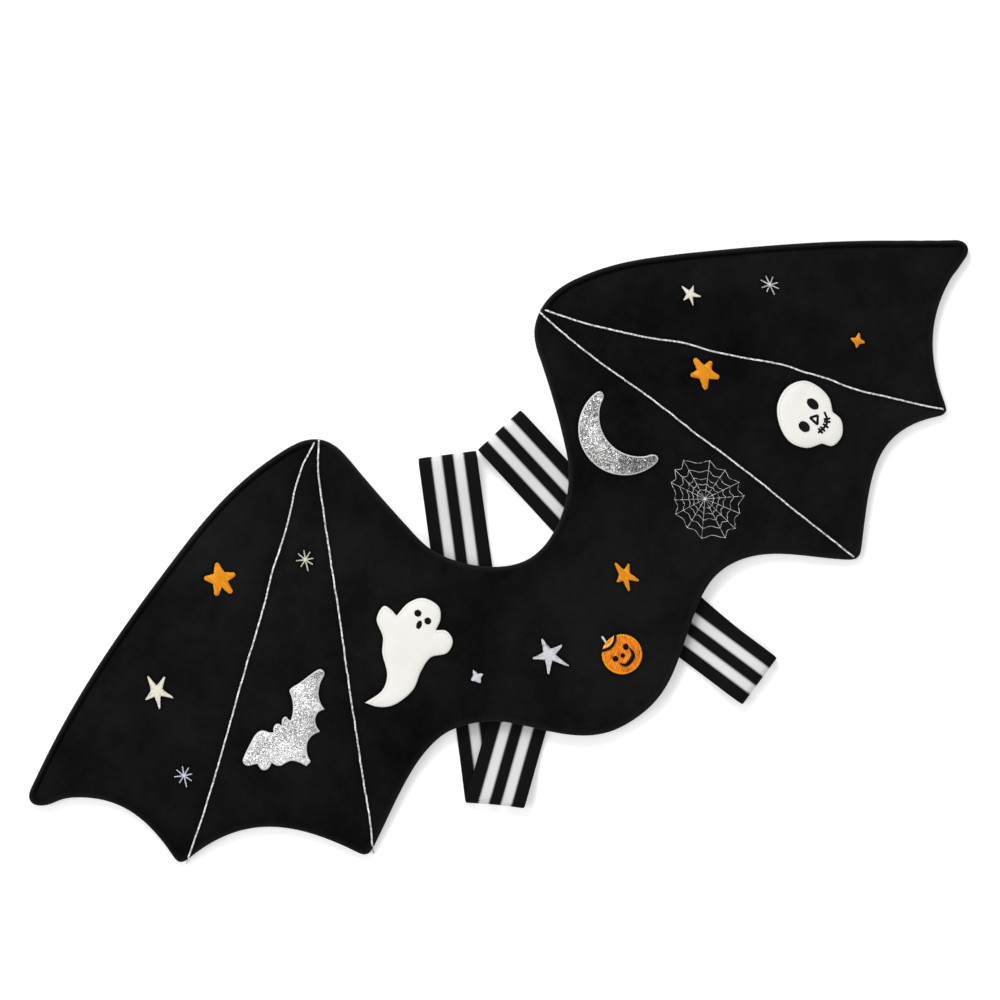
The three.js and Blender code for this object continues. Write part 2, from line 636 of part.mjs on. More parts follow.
function faceHeightAt(point) {
  const slack = -1e-6;
  for (const { a, b, c, area } of facets) {
    const shareB = ((point.x - a.x) * (c.y - a.y) - (c.x - a.x) * (point.y - a.y)) / area;
    const shareC = ((b.x - a.x) * (point.y - a.y) - (point.x - a.x) * (b.y - a.y)) / area;
    if (shareB >= slack && shareC >= slack && shareB + shareC <= 1 - slack) {
      return a.z + shareB * (b.z - a.z) + shareC * (c.z - a.z);
    }
  }
  return middleSeam(point) + frontPadding;
}

// Heights at which a strip of some width lies clear of the front all along its route
function seatedHeights(route, width) {
  const probes = 4;
  const across = (from, to, share) => {
    const along = to.clone().sub(from).normalize();
    const middle = from.clone().lerp(to, share);
    return max(...[-0.5, 0, 0.5].map((side) => {
      const aside = side * width;
      return faceHeightAt(new THREE.Vector2(middle.x + along.y * aside, middle.y - along.x * aside));
    }));
  };
  const heights = route.map((point, i) => (i > 0 ? across(route[i - 1], point, 1) : across(point, route[1], 0)));
  const raised = heights.slice();
  route.slice(1).forEach((to, i) => {
    for (let k = 1; k < probes; k += 1) {
      const level = heights[i] + ((heights[i + 1] - heights[i]) * k) / probes;
      const short = across(route[i], to, k / probes) - level;
      raised[i] = max(raised[i], heights[i] + short);
      raised[i + 1] = max(raised[i + 1], heights[i + 1] + short);
    }
  });
  return raised;
}

// Braid laid along a path on the front, with a low arched section
function rib(name, path) {
  const section = [
    { across: -0.5, up: 0 },
    { across: 0.5, up: 0 },
    { across: 0.36, up: 0.72 },
    { across: 0, up: 1 },
    { across: -0.36, up: 0.72 },
  ];
  const ends = 3;
  const route = path.flatMap((point, i) => {
    const fine = i < 2 || i >= path.length - 3;
    const next = path[i + 1];
    if (!next || !fine) return [point];
    return Array.from({ length: ends }, (_, k) => point.clone().lerp(next, k / ends));
  });
  const shell = new Shell();
  const heights = seatedHeights(route, ribWidth);
  const rings = route.map((point, i) => {
    const along = route[min(i + 1, route.length - 1)].clone().sub(route[max(i - 1, 0)]).normalize();
    const base = heights[i] + clearance;
    return section.map(({ across, up }) => {
      const aside = across * ribWidth;
      return shell.vertex(point.x + along.y * aside, point.y - along.x * aside, base + up * ribHeight);
    });
  });
  shell.sweep(rings);
  return shell.mesh(name, 'silver_braid');
}

// One layer of an arm loop's end, from under the body out to its fold and down to the floor
function loopEnd(end, fold, turn) {
  const toEnd = end.clone().sub(fold);
  const length = toEnd.length();
  const inward = toEnd.angle();
  const at = (away, angle, z) => {
    const ray = new THREE.Vector2(cos(angle), sin(angle));
    return { point: fold.clone().addScaledVector(ray, away), ray, z };
  };
  const sections = [];
  const open = length - anchorDepth - flatReach - foldRadius;
  const steps = 9;
  sections.push(at(length, inward, upperLayer));
  for (let i = 0; i <= steps; i += 1) {
    const away = foldRadius + open * (1 - i / steps);
    const rise = (loopHeight - strapThickness / 2 - upperLayer) * (0.5 - 0.5 * cos((PI * i) / steps));
    sections.push(at(away, inward, upperLayer + rise));
  }
  const turns = 7;
  for (let i = 1; i <= turns; i += 1) {
    const angle = PI / 2 - (PI * i) / turns;
    const away = foldRadius * (1 - cos(angle));
    sections.push(at(away, inward + (radians(turn) * i) / turns, loopHeight / 2 + foldRadius * sin(angle)));
  }
  return sections;
}

function strap(route) {
  const waist = loopEnd(route.waistEnd, route.waistFold, route.waistTurn).reverse();
  const between = Array.from({ length: freeSteps - 1 }, (_, i) => {
    const share = (i + 1) / freeSteps;
    return { point: route.free.getPoint(share), ray: route.free.getTangent(share), z: strapThickness / 2 };
  });
  const sections = [
    ...loopEnd(route.neckEnd, route.neckFold, route.neckTurn),
    ...between,
    ...waist.map(({ point, ray, z }) => ({ point, ray: ray.clone().negate(), z })),
  ];
  const shell = new Shell();
  const half = strapThickness / 2;
  const rings = sections.map(({ point, ray, z }, i) => {
    const before = sections[max(i - 1, 0)];
    const after = sections[min(i + 1, sections.length - 1)];
    const forward = after.point.clone().sub(before.point).dot(ray.clone().negate());
    const slope = new THREE.Vector2(forward, after.z - before.z).normalize();
    const corners = [[-1, -1], [1, -1], [1, 1], [-1, 1]];
    return corners.map(([side, up]) => {
      const across = (side * strapWidth) / 2;
      const shift = -up * half * slope.y;
      const x = point.x - ray.x * shift - ray.y * across;
      const y = point.y - ray.y * shift + ray.x * across;
      return shell.vertex(x, y, z + up * half * slope.x);
    });
  });
  shell.sweep(rings);
  return shell.mesh(route.name, 'elastic');
}

// A flat figure laid on the front. Its outline runs counter-clockwise, and its face is inset by a bevel.
function patch(name, outline, { base, thickness, bevel, step, material }) {
  const shell = new Shell();
  const inset = outline.map((point, i) => {
    const along = outline[(i + 1) % outline.length].clone().sub(outline.at(i - 1)).normalize();
    return new THREE.Vector2(point.x - along.y * bevel, point.y + along.x * bevel);
  });
  const inner = lattice(outline, step, 0.5 * step, [], 0);
  const layer = (ring, height, upward) => {
    const points = [...ring, ...inner];
    const vertices = points.map((p) => shell.vertex(p.x, p.y, faceHeightAt(p) + height));
    fill(points, ring.length).forEach((corners) => {
      shell.triangle(...corners.map((corner) => vertices[corner]), upward);
    });
    return vertices.slice(0, ring.length);
  };
  shell.join(layer(outline, base, false), layer(inset, base + thickness, true));
  return shell.mesh(name, material);
}

// A figure that rises from its outline to its middle
function dome(name, outline, middle, { base, edgeHeight, height, material }) {
  const shell = new Shell();
  const lower = outline.map((p) => shell.vertex(p.x, p.y, faceHeightAt(p) + base));
  const upper = outline.map((p) => shell.vertex(p.x, p.y, faceHeightAt(p) + base + edgeHeight));
  const floor = shell.vertex(middle.x, middle.y, faceHeightAt(middle) + base);
  const peak = shell.vertex(middle.x, middle.y, faceHeightAt(middle) + base + height);
  shell.join(lower, upper);
  lower.forEach((_, i) => {
    const next = (i + 1) % lower.length;
    shell.triangle(floor, lower[next], lower[i]);
    shell.triangle(peak, upper[i], upper[next]);
  });
  return shell.mesh(name, material);
}

// A smooth outline through a table's points, broken at its corners and spaced evenly
function figureOutline(table, size, middle) {
  const points = table.map(({ x, y }) => new THREE.Vector2(middle.x + x * size, middle.y + y * size));
  const first = table.findIndex((row) => row.corner);
  const turned = [...points.slice(first), ...points.slice(0, first + 1)];
  const corners = [...table.slice(first), ...table.slice(0, first + 1)].map((row) => Boolean(row.corner));
  const outline = [];
  let stretch = [turned[0]];
  turned.slice(1).forEach((point, i) => {
    stretch.push(point);
    if (!corners[i + 1]) return;
    const curve = new THREE.SplineCurve(stretch);
    const steps = max(1, round(curve.getLength() / patchStep));
    for (let k = 0; k < steps; k += 1) outline.push(curve.getPointAt(k / steps));
    stretch = [point];
  });
  return outline.reverse();
}

function starOutline({ form, radius, rays }, middle) {
  const { waist, tip } = starForms[form];
  const mean = (radius * rays.reduce((sum, [, share]) => sum + share, 0)) / rays.length;
  return rays.flatMap(([angle, share], i) => {
    const following = i + 1 < rays.length ? rays[i + 1][0] : rays[0][0] + 360;
    const notch = heading((angle + following) / 2).multiplyScalar(waist * mean);
    const end = heading(angle).multiplyScalar(share * radius);
    const across = heading(angle + 90).multiplyScalar((tip * mean) / 2);
    return [end.clone().sub(across), end.add(across), notch].map((p) => p.add(middle));
  });
}

function moonOutline(middle) {
  const shift = heading(moonTurn).multiplyScalar(moonHollowShift);
  const arc = (centre, radius, from, to) => {
    const steps = round((radius * radians(Math.abs(to - from))) / patchStep);
    return Array.from({ length: steps + 1 }, (_, i) => {
      return heading(from + ((to - from) * i) / steps).multiplyScalar(radius).add(centre);
    });
  };
  const outer = arc(middle, moonRadius, moonTurn + moonHorn, moonTurn + 360 - moonHorn);
  const hollow = middle.clone().add(shift);
  const outerEnd = outer[0].clone().sub(hollow).angle();
  const start = (outerEnd * 180) / PI - moonTurn;
  const inner = arc(hollow, moonHollow, moonTurn + 360 - start, moonTurn + start);
  const horn = (a, b) => {
    const out = b.clone().sub(a);
    const bulge = new THREE.Vector2(out.y, -out.x).normalize().multiplyScalar(moonTip);
    return [0.3, 0.7].map((share) => a.clone().lerp(b, share).add(bulge));
  };
  return [...outer, ...horn(outer.at(-1), inner[0]), ...inner, ...horn(inner.at(-1), outer[0])];
}

function ovalOutline({ x, y, rx, ry, turn }, size, middle, sides) {
  return Array.from({ length: sides }, (_, i) => {
    const point = new THREE.Vector2(rx * size * cos((2 * PI * i) / sides), ry * size * sin((2 * PI * i) / sides));
    return point.rotateAround(new THREE.Vector2(), radians(turn)).add(new THREE.Vector2(x * size, y * size)).add(middle);
  });
}

const wingsGroup = new THREE.Group();
wingsGroup.add(frontShell.mesh('front_panel', 'velour'));
wingsGroup.add(backShell.mesh('back_panel', 'velour'));
ribs.forEach(({ name }, i) => wingsGroup.add(rib(name, ribPaths[i])));
strapRoutes.forEach((route) => wingsGroup.add(strap(route)));

stars.forEach((row) => {
  const middle = place(row);
  const sizes = { base: clearance, edgeHeight: 0.4 * stitchHeight, height: stitchHeight, material: row.thread };
  wingsGroup.add(dome(row.name, starOutline(row, middle), middle, sizes));
});

const felt = {
  base: clearance, thickness: feltThickness, bevel: patchBevel, step: patchInnerStep, material: 'felt',
};
const glitter = { ...felt, thickness: glitterThickness, material: 'glitter' };
const figures = {
  ghost: { middle: place(ghostPlace), size: ghostSize, top: clearance + feltThickness },
  skull: { middle: place(skullPlace), size: skullSize, top: clearance + feltThickness },
  pumpkin: { middle: place(pumpkinPlace), size: pumpkinRadius, top: clearance + stitchHeight },
};
wingsGroup.add(patch('ghost', figureOutline(ghostOutline, ghostSize, figures.ghost.middle), felt));
wingsGroup.add(patch('skull', figureOutline(skullOutline, skullSize, figures.skull.middle), felt));
wingsGroup.add(patch('bat_patch', figureOutline(batOutline, batSize, place(batPlace)), glitter));
wingsGroup.add(patch('moon', moonOutline(place(moonPlace)), glitter));

const pumpkinSides = 22;
const pumpkin = { x: 0, y: 0, rx: 1, ry: 1, turn: 0 };
wingsGroup.add(patch(
  'pumpkin',
  ovalOutline(pumpkin, pumpkinRadius, figures.pumpkin.middle, pumpkinSides),
  { ...felt, thickness: stitchHeight, material: 'orange_thread' },
));
wingsGroup.add(dome(
  'pumpkin_stem',
  ovalOutline(stem, pumpkinRadius, figures.pumpkin.middle, featureSides),
  figures.pumpkin.middle.clone().add(new THREE.Vector2(stem.x, stem.y).multiplyScalar(pumpkinRadius)),
  { base: clearance, edgeHeight: 0.4 * stitchHeight, height: stitchHeight, material: 'cream_thread' },
));
features.forEach((row) => {
  const { middle, size, top } = figures[row.figure];
  const spot = middle.clone().add(new THREE.Vector2(row.x, row.y).multiplyScalar(size));
  const sizes = {
    base: top + clearance, edgeHeight: 0.5 * faceHeight, height: faceHeight, material: 'black_thread',
  };
  wingsGroup.add(dome(row.name, ovalOutline(row, size, middle, featureSides), spot, sizes));
});

// The origin is under the middle of the whole, on the surface it lies on
const box = new THREE.Box3().setFromObject(wingsGroup);
wingsGroup.position.set(-(box.min.x + box.max.x) / 2, -(box.min.y + box.max.y) / 2, -box.min.z);
const batWings = new THREE.Group();
batWings.add(wingsGroup);

export default batWings;
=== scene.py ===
"""Padded bat wings in black velour, with braid ribs, striped arm loops, patches and embroidery.

Sizes are in millimetres unless a name says otherwise, and every mesh is made in metres.
"""

import logging
import math
from dataclasses import dataclass, field
from enum import Enum

import bmesh
import bpy
import numpy as np
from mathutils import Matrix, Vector, noise
from mathutils.bvhtree import BVHTree
from mathutils.geometry import delaunay_2d_cdt


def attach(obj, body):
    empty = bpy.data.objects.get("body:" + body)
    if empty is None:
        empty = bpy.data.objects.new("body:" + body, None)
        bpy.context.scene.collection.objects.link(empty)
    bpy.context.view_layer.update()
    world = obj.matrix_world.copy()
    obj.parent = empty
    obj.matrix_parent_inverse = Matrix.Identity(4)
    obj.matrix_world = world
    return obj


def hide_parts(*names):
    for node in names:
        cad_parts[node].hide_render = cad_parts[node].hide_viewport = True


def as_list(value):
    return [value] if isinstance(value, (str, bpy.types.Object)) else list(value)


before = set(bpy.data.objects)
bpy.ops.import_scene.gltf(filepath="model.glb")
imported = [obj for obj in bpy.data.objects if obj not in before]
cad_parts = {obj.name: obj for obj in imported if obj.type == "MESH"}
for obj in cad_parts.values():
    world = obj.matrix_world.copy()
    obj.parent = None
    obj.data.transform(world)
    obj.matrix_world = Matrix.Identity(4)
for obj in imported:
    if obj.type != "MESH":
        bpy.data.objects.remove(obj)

log = logging.getLogger("bat_wings")
MM = 0.001
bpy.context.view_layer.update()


class Value:
    """A node's output whose arithmetic adds Math nodes to its tree."""

    def __init__(self, graph: "Graph", socket: bpy.types.NodeSocket) -> None:
        """Keeps the tree and the output."""
        self.graph = graph
        self.socket = socket

    def __add__(self, other: "Value | float") -> "Value":
        """Sum of the two."""
        return self.graph.maths("ADD", self, other)

    __radd__ = __add__

    def __sub__(self, other: "Value | float") -> "Value":
        """This less the other."""
        return self.graph.maths("SUBTRACT", self, other)

    def __rsub__(self, other: float) -> "Value":
        """The other less this."""
        return self.graph.maths("SUBTRACT", other, self)

    def __mul__(self, other: "Value | float") -> "Value":
        """Product of the two."""
        return self.graph.maths("MULTIPLY", self, other)

    __rmul__ = __mul__

    def __truediv__(self, other: "Value | float") -> "Value":
        """This divided by the other."""
        return self.graph.maths("DIVIDE", self, other)

    def __pow__(self, other: float) -> "Value":
        """This to the other's power."""
        return self.graph.maths("POWER", self, other)

    def sine(self) -> "Value":
        """Its sine."""
        return self.graph.maths("SINE", self)

    def cosine(self) -> "Value":
        """Its cosine."""
        return self.graph.maths("COSINE", self)

    def size(self) -> "Value":
        """Its size without its sign."""
        return self.graph.maths("ABSOLUTE", self)

    def fraction(self) -> "Value":
        """What is left of it beyond whole numbers."""
        return self.graph.maths("FRACT", self)

    def clamped(self) -> "Value":
        """It, kept between 0 and 1."""
        return self.graph.value("ShaderNodeClamp", inputs={"Value": self})


class Graph:
    """A node tree, with one method that makes any node in it."""

    def __init__(self, tree: bpy.types.NodeTree) -> None:
        """Keeps the tree."""
        self.tree = tree

    @staticmethod
    def find(sockets: object, key: "int | str") -> bpy.types.NodeSocket:
        """The socket at a place, or the first live one of a name."""
        if isinstance(key, int):
            return sockets[key]
        return next(socket for socket in sockets if socket.name == key and socket.enabled)

    def node(self, kind: str, settings: "dict | None" = None, inputs: "dict | None" = None) -> bpy.types.Node:
        """Makes a node.

        Args:
            kind: The node's type.
            settings: Its settings, put in first.
            inputs: What goes into its sockets, values or links, by name or place.

        Returns:
            The node.
        """
        made = self.tree.nodes.new(kind)
        for key, value in (settings or {}).items():
            setattr(made, key, value)
        for key, value in (inputs or {}).items():
            socket = self.find(made.inputs, key)
            value = value.socket if isinstance(value, Value) else value
            if isinstance(value, bpy.types.NodeSocket):
                self.tree.links.new(value, socket)
            else:
                socket.default_value = value
        return made

    def value(
        self, kind: str, settings: "dict | None" = None, inputs: "dict | None" = None, output: "int | str" = 0
    ) -> Value:
        """Makes a node and gives one of its outputs.

        Args:
            kind: The node's type.
            settings: Its settings.
            inputs: What goes into its sockets.
            output: Name or place of the output.

        Returns:
            The output, ready for arithmetic.
        """
        made = self.node(kind, settings, inputs)
        return Value(self, self.find(made.outputs, output))

    def maths(self, operation: str, *terms: "Value | float") -> Value:
        """A Math node's result."""
        return self.value("ShaderNodeMath", {"operation": operation}, dict(enumerate(terms)))

    def vector(self, operation: str, *terms: object) -> Value:
        """A Vector Math node's result."""
        return self.value("ShaderNodeVectorMath", {"operation": operation}, dict(enumerate(terms)))

    def scaled(self, vector: Value, share: "Value | float") -> Value:
        """A vector times a number."""
        return self.value("ShaderNodeVectorMath", {"operation": "SCALE"}, {0: vector, "Scale": share})

    def blend(self, share: "Value | float", first: object, second: object) -> Value:
        """A colour between two colours."""
        inputs = {"Factor": share, "A": first, "B": second}
        return self.value("ShaderNodeMix", {"data_type": "RGBA"}, inputs, "Result")

    def attribute(self, name: str) -> Value:
        """A number stored at each vertex."""
        return self.value("ShaderNodeAttribute", {"attribute_name": name}, output="Fac")

    def speckle(self, vector: Value, scale: float, detail: float = 2.0, rough: float = 0.5) -> Value:
        """Noise from 0 to 1 over a vector."""
        sizes = {"Vector": vector, "Scale": scale, "Detail": detail, "Roughness": rough}
        return self.value("ShaderNodeTexNoise", None, sizes, 0)

    def bump(self, height: Value, strength: float, distance: float) -> Value:
        """A normal bent by a height."""
        sizes = {"Strength": strength, "Distance": distance, "Height": height}
        return self.value("ShaderNodeBump", None, sizes, "Normal")


def colour(shade: "tuple[float, float, float]", share: float = 1.0) -> "tuple[float, float, float, float]":
    """A colour times a share, with full cover."""
    return (shade[0] * share, shade[1] * share, shade[2] * share, 1.0)


@dataclass(frozen=True)
class Finish:
    """What each cloth or thread has in common."""

    name: str
    slot: str
    shade: "tuple[float, float, float]"

    def material(self) -> bpy.types.Material:
        """The finish's material, made once.

        Returns:
            The material.
        """
        found = bpy.data.materials.get(self.name)
        if found:
            return found
        made = bpy.data.materials.new(self.name)
        made.use_nodes = True
        made.diffuse_color = colour(self.shade)
        made.node_tree.nodes.clear()
        graph = Graph(made.node_tree)
        inputs = self.surface(graph)
        shader = graph.node("ShaderNodeBsdfPrincipled", None, inputs)
        graph.node("ShaderNodeOutputMaterial", None, {"Surface": shader.outputs[0]})
        return made

    def surface(self, graph: Graph) -> dict:
        """What goes into the shader."""
        return {"Base Color": colour(self.shade)}

    @staticmethod
    def place(graph: Graph) -> Value:
        """Where a point lies on the object, in metres."""
        return graph.value("ShaderNodeTexCoord", output="Object")


@dataclass(frozen=True)
class Paper(Finish):
    """Backdrop paper lit from behind."""

    glow: float = 0.30

    def surface(self, graph: Graph) -> dict:
        """What goes into the shader."""
        return {
            "Base Color": colour(self.shade),
            "Roughness": 0.9,
            "Emission Color": (1.0, 1.0, 1.0, 1.0),
            "Emission Strength": self.glow,
        }


@dataclass(frozen=True)
class Velour(Finish):
    """Short pile that lies this way and that, with a soft sheen, painted shade along its seams and round its
    patches, and a painted sheen over its rolled edge.
    """

    pile: float = 950.0
    brushed: float = 24.0
    broad: float = 5.0

    def surface(self, graph: Graph) -> dict:
        """What goes into the shader."""
        place = self.place(graph)
        brushed = graph.speckle(place, self.brushed, 5.0, 0.66)
        broad = graph.speckle(place, self.broad, 2.0)
        pile = graph.speckle(place, self.pile, 3.0, 0.7)
        # Vertex attributes: pressed carries painted shade, turned a painted sheen.
        pressed = graph.attribute("pressed")
        turned = graph.attribute("turned")
        share = (brushed * 3.6 - 1.3).clamped() * 0.42 + (pile * 2.4 - 0.7).clamped() * 0.24
        share = share + (broad * 3.0 - 1.0).clamped() * 0.34
        nap = graph.blend(share, colour(self.shade, 0.05), colour(self.shade, 2.25))
        # Painted shade: the pile darkened in the channel, along the ribs and round the patches.
        flat = graph.blend(pressed * 0.92, nap, colour(self.shade, 0.04))
        height = pile + brushed * 0.6
        return {
            # Painted sheen: the pile lightened over the rolled edge.
            "Base Color": graph.blend(turned * 0.75, flat, colour(self.shade, 3.2)),
            "Roughness": 0.85 + brushed * 0.12,
            "Specular IOR Level": 0.04,
            "Sheen Weight": 0.05,
            "Sheen Roughness": 0.35,
            "Sheen Tint": (0.80, 0.82, 0.86, 1.0),
            "Normal": graph.bump(height, 0.55, 0.0006),
        }


@dataclass(frozen=True)
class Elastic(Finish):
    """Ribbed webbing with two white stripes, drawn along its own length."""

    white: "tuple[float, float, float]" = (0.82, 0.825, 0.82)
    stripes: "tuple[float, float]" = (0.312, 0.688)
    stripe_half: float = 0.084
    wales: float = 27.0
    picks: float = 30.0

    def surface(self, graph: Graph) -> dict:
        """What goes into the shader."""
        across_along = graph.value("ShaderNodeUVMap", {"uv_map": "weave"})
        split = graph.node("ShaderNodeSeparateXYZ", None, {0: across_along})
        across, along = Value(graph, split.outputs[0]), Value(graph, split.outputs[1])
        chevron = ((across * (self.wales / 2)).fraction() - 0.5).size()
        pick = ((along * self.picks + chevron) * (2 * math.pi)).sine() * 0.5 + 0.5
        wale = (across * (2 * math.pi * self.wales)).cosine() * 0.5 + 0.5
        ragged = across + (pick - 0.5) * 0.034
        near = [self.stripe_half - (ragged - middle).size() for middle in self.stripes]
        stripe = (graph.maths("MAXIMUM", near[0], near[1]) * 160.0 + 0.5).clamped()
        groove = (wale ** 3.0) * 0.26 + (1 - pick) * 0.34
        lit = 1 - groove
        white = graph.blend(lit, colour(self.white, 0.30), colour(self.white))
        black = graph.blend(lit, colour(self.shade, 0.4), colour(self.shade, 1.3))
        height = (1 - wale ** 2.0) * 0.7 + pick * 0.3
        return {
            "Base Color": graph.blend(stripe, black, white),
            "Roughness": 0.8,
            "Specular IOR Level": 0.06,
            "Normal": graph.bump(height, 0.5, 0.0003),
        }


@dataclass(frozen=True)
class Thread(Finish):
    """Glossy thread whose tone changes from one stitch to the next."""

    gloss: float = 0.42
    low: float = 0.64
    shine: float = 0.2

    def surface(self, graph: Graph) -> dict:
        """What goes into the shader."""
        tone = graph.attribute("tone")
        fibre = graph.speckle(self.place(graph), 2600.0, 2.0)
        share = (tone * 0.8 + fibre * 0.2).clamped()
        return {
            "Base Color": graph.blend(share, colour(self.shade, self.low), colour(self.shade, 1.2)),
            "Roughness": self.gloss,
            "Specular IOR Level": self.shine,
            "Normal": graph.bump(fibre, 0.25, 0.0002),
        }


@dataclass(frozen=True)
class Braid(Finish):
    """Metallic braid that glints here and there along its strands."""

    glints: float = 520.0

    def surface(self, graph: Graph) -> dict:
        """What goes into the shader."""
        place = self.place(graph)
        glint = (graph.speckle(place, self.glints, 2.0, 0.6) * 3.4 - 1.15).clamped()
        fibre = graph.speckle(place, 3000.0, 2.0)
        return {
            "Base Color": graph.blend(glint, colour(self.shade, 0.38), colour(self.shade, 1.18)),
            "Roughness": 0.38,
            "Metallic": 0.15,
            "Normal": graph.bump(fibre, 0.3, 0.0002),
        }


@dataclass(frozen=True)
class Felt(Finish):
    """Pressed wool with short fibres."""

    def surface(self, graph: Graph) -> dict:
        """What goes into the shader."""
        place = self.place(graph)
        fibre = graph.speckle(place, 1700.0, 4.0, 0.7)
        cloud = graph.speckle(place, 120.0, 3.0)
        share = (fibre * 0.7 + cloud * 0.3) * 1.6 - 0.3
        return {
            "Base Color": graph.blend(share.clamped(), colour(self.shade, 0.93), colour(self.shade, 1.02)),
            "Roughness": 0.95,
            "Specular IOR Level": 0.15,
            "Normal": graph.bump(fibre + cloud, 0.35, 0.0004),
        }


@dataclass(frozen=True)
class Glitter(Finish):
    """Flakes that each face their own way, with a plain pressed rim."""

    dull: float = 0.14
    bright: float = 1.5
    flakes: float = 1900.0
    rim: "tuple[float, float, float]" = (0.66, 0.67, 0.67)

    def surface(self, graph: Graph) -> dict:
        """What goes into the shader."""
        place = self.place(graph)
        flake = graph.value("ShaderNodeTexVoronoi", None, {"Vector": place, "Scale": self.flakes}, "Color")
        split = graph.node("ShaderNodeSeparateColor", None, {0: flake})
        first, second = Value(graph, split.outputs[0]), Value(graph, split.outputs[1])
        third = Value(graph, split.outputs[2])
        cloud = graph.speckle(place, 42.0, 1.0, 0.5)
        shine = (first * 1.4 + cloud * 2.2 - 1.32).clamped() ** 1.1
        edge = graph.attribute("edge")
        rim = (edge * 3.0 - 1.0).clamped()
        glint = graph.blend(shine, colour(self.shade, self.dull), colour(self.shade, self.bright))
        tilt = graph.value("ShaderNodeCombineXYZ", None, {0: second - 0.5, 1: third - 0.5, 2: 0.0})
        normal = graph.value("ShaderNodeNewGeometry", output="Normal")
        bent = graph.vector("ADD", normal, graph.scaled(tilt, 0.9 * (1 - rim)))
        return {
            "Base Color": graph.blend(rim, glint, colour(self.rim)),
            "Roughness": 0.30 + rim * 0.3,
            "Metallic": (1 - rim) * 0.45,
            "Normal": graph.vector("NORMALIZE", bent),
        }


VELOUR = Velour("black_velour", "velour", (0.0044, 0.0044, 0.0045))
ELASTIC = Elastic("striped_elastic", "elastic", (0.0042, 0.0042, 0.0043))
BRAID = Braid("silver_white_braid", "silver_braid", (0.84, 0.84, 0.83))
FELT = Felt("off_white_felt", "felt", (0.81, 0.80, 0.76))
GLITTER = Glitter("silver_glitter", "glitter", (0.54, 0.54, 0.535))
PALE_GLITTER = Glitter("pale_silver_glitter", "glitter", (0.67, 0.67, 0.67), 0.36, 1.35)
ORANGE = Thread("orange_satin", "orange_thread", (1.0, 0.38, 0.009), low=0.36)
PUMPKIN = Thread("pumpkin_satin", "orange_thread", (0.97, 0.29, 0.009), low=0.34)
PALE_ORANGE = Thread("pale_orange_satin", "orange_thread", (0.95, 0.52, 0.11))
CREAM = Thread("cream_satin", "cream_thread", (0.75, 0.715, 0.61), low=0.66)
SILVER = Thread("silver_grey_satin", "silver_thread", (0.70, 0.705, 0.74), low=0.34)
WEB = Thread("silver_web_thread", "silver_thread", (0.80, 0.80, 0.81), low=0.12)
BLUE = Thread("blue_grey_satin", "blue_thread", (0.66, 0.71, 0.80))
BLACK = Thread("black_satin", "black_thread", (0.008, 0.008, 0.008), shine=0.04)
SEAM = Thread("black_seam_thread", "velour", (0.004, 0.004, 0.004), 0.7, shine=0.1)


def distances(points: np.ndarray, path: np.ndarray, closed: bool) -> "tuple[np.ndarray, np.ndarray]":
    """How far points lie from a path.

    Args:
        points: The points, one a row.
        path: The path's corners, one a row.
        closed: Whether the path's end joins its start.

    Returns:
        The distances, and the length along the path of each nearest place.
    """
    ends = np.roll(path, -1, axis=0) if closed else path[1:]
    starts = path if closed else path[:-1]
    along = ends - starts
    square = np.maximum((along ** 2).sum(1), 1e-12)
    lengths = np.sqrt(square)
    before = np.concatenate([[0.0], np.cumsum(lengths)[:-1]])
    found, places = np.empty(len(points)), np.empty(len(points))
    for first in range(0, len(points), 1500):
        part = points[first:first + 1500]
        to_part = part[:, None, :] - starts[None, :, :]
        share = np.clip((to_part * along).sum(2) / square, 0, 1)
        gap = np.hypot(to_part[:, :, 0] - along[:, 0] * share, to_part[:, :, 1] - along[:, 1] * share)
        nearest = gap.argmin(1)
        rows = np.arange(len(part))
        found[first:first + 1500] = gap[rows, nearest]
        places[first:first + 1500] = before[nearest] + share[rows, nearest] * lengths[nearest]
    return found, places


def inside(points: np.ndarray, ring: np.ndarray) -> np.ndarray:
    """Which points a ring holds."""
    ends = np.roll(ring, -1, axis=0)
    held = np.zeros(len(points), bool)
    for (ax, ay), (bx, by) in zip(ring, ends):
        if ay == by:
            continue
        spans = (ay > points[:, 1]) != (by > points[:, 1])
        crossing = ax + (points[:, 1] - ay) / (by - ay) * (bx - ax)
        held ^= spans & (points[:, 0] < crossing)
    return held


def doubled_area(ring: np.ndarray) -> float:
    """Twice a ring's area, below zero where it runs clockwise."""
    return (ring[:, 0] * np.roll(ring[:, 1], -1) - ring[:, 1] * np.roll(ring[:, 0], -1)).sum()


def anticlockwise(ring: np.ndarray) -> np.ndarray:
    """A ring, run counter-clockwise."""
    return ring if doubled_area(ring) > 0 else ring[::-1]


def looped(ring: np.ndarray) -> np.ndarray:
    """A ring with its first point again at its end."""
    return np.concatenate([ring, ring[:1]])


def headings(path: np.ndarray) -> np.ndarray:
    """Direction of a path at each of its points."""
    along = np.gradient(path, axis=0)
    return along / np.hypot(along[:, 0], along[:, 1])[:, None]


def left_of(along: np.ndarray) -> np.ndarray:
    """Directions a quarter turn to the left of others."""
    return np.stack([-along[:, 1], along[:, 0]], axis=1)


def corner_products(ring: np.ndarray) -> "tuple[np.ndarray, np.ndarray]":
    """Cross and dot product of the two sides that meet at each corner."""
    before, after = ring - np.roll(ring, 1, axis=0), np.roll(ring, -1, axis=0) - ring
    return before[:, 0] * after[:, 1] - before[:, 1] * after[:, 0], (before * after).sum(1)


def clouds(points: np.ndarray, spread: float, level: float) -> np.ndarray:
    """Soft noise over points."""
    return np.array([noise.noise(Vector((x / spread, y / spread, level))) for x, y in points])


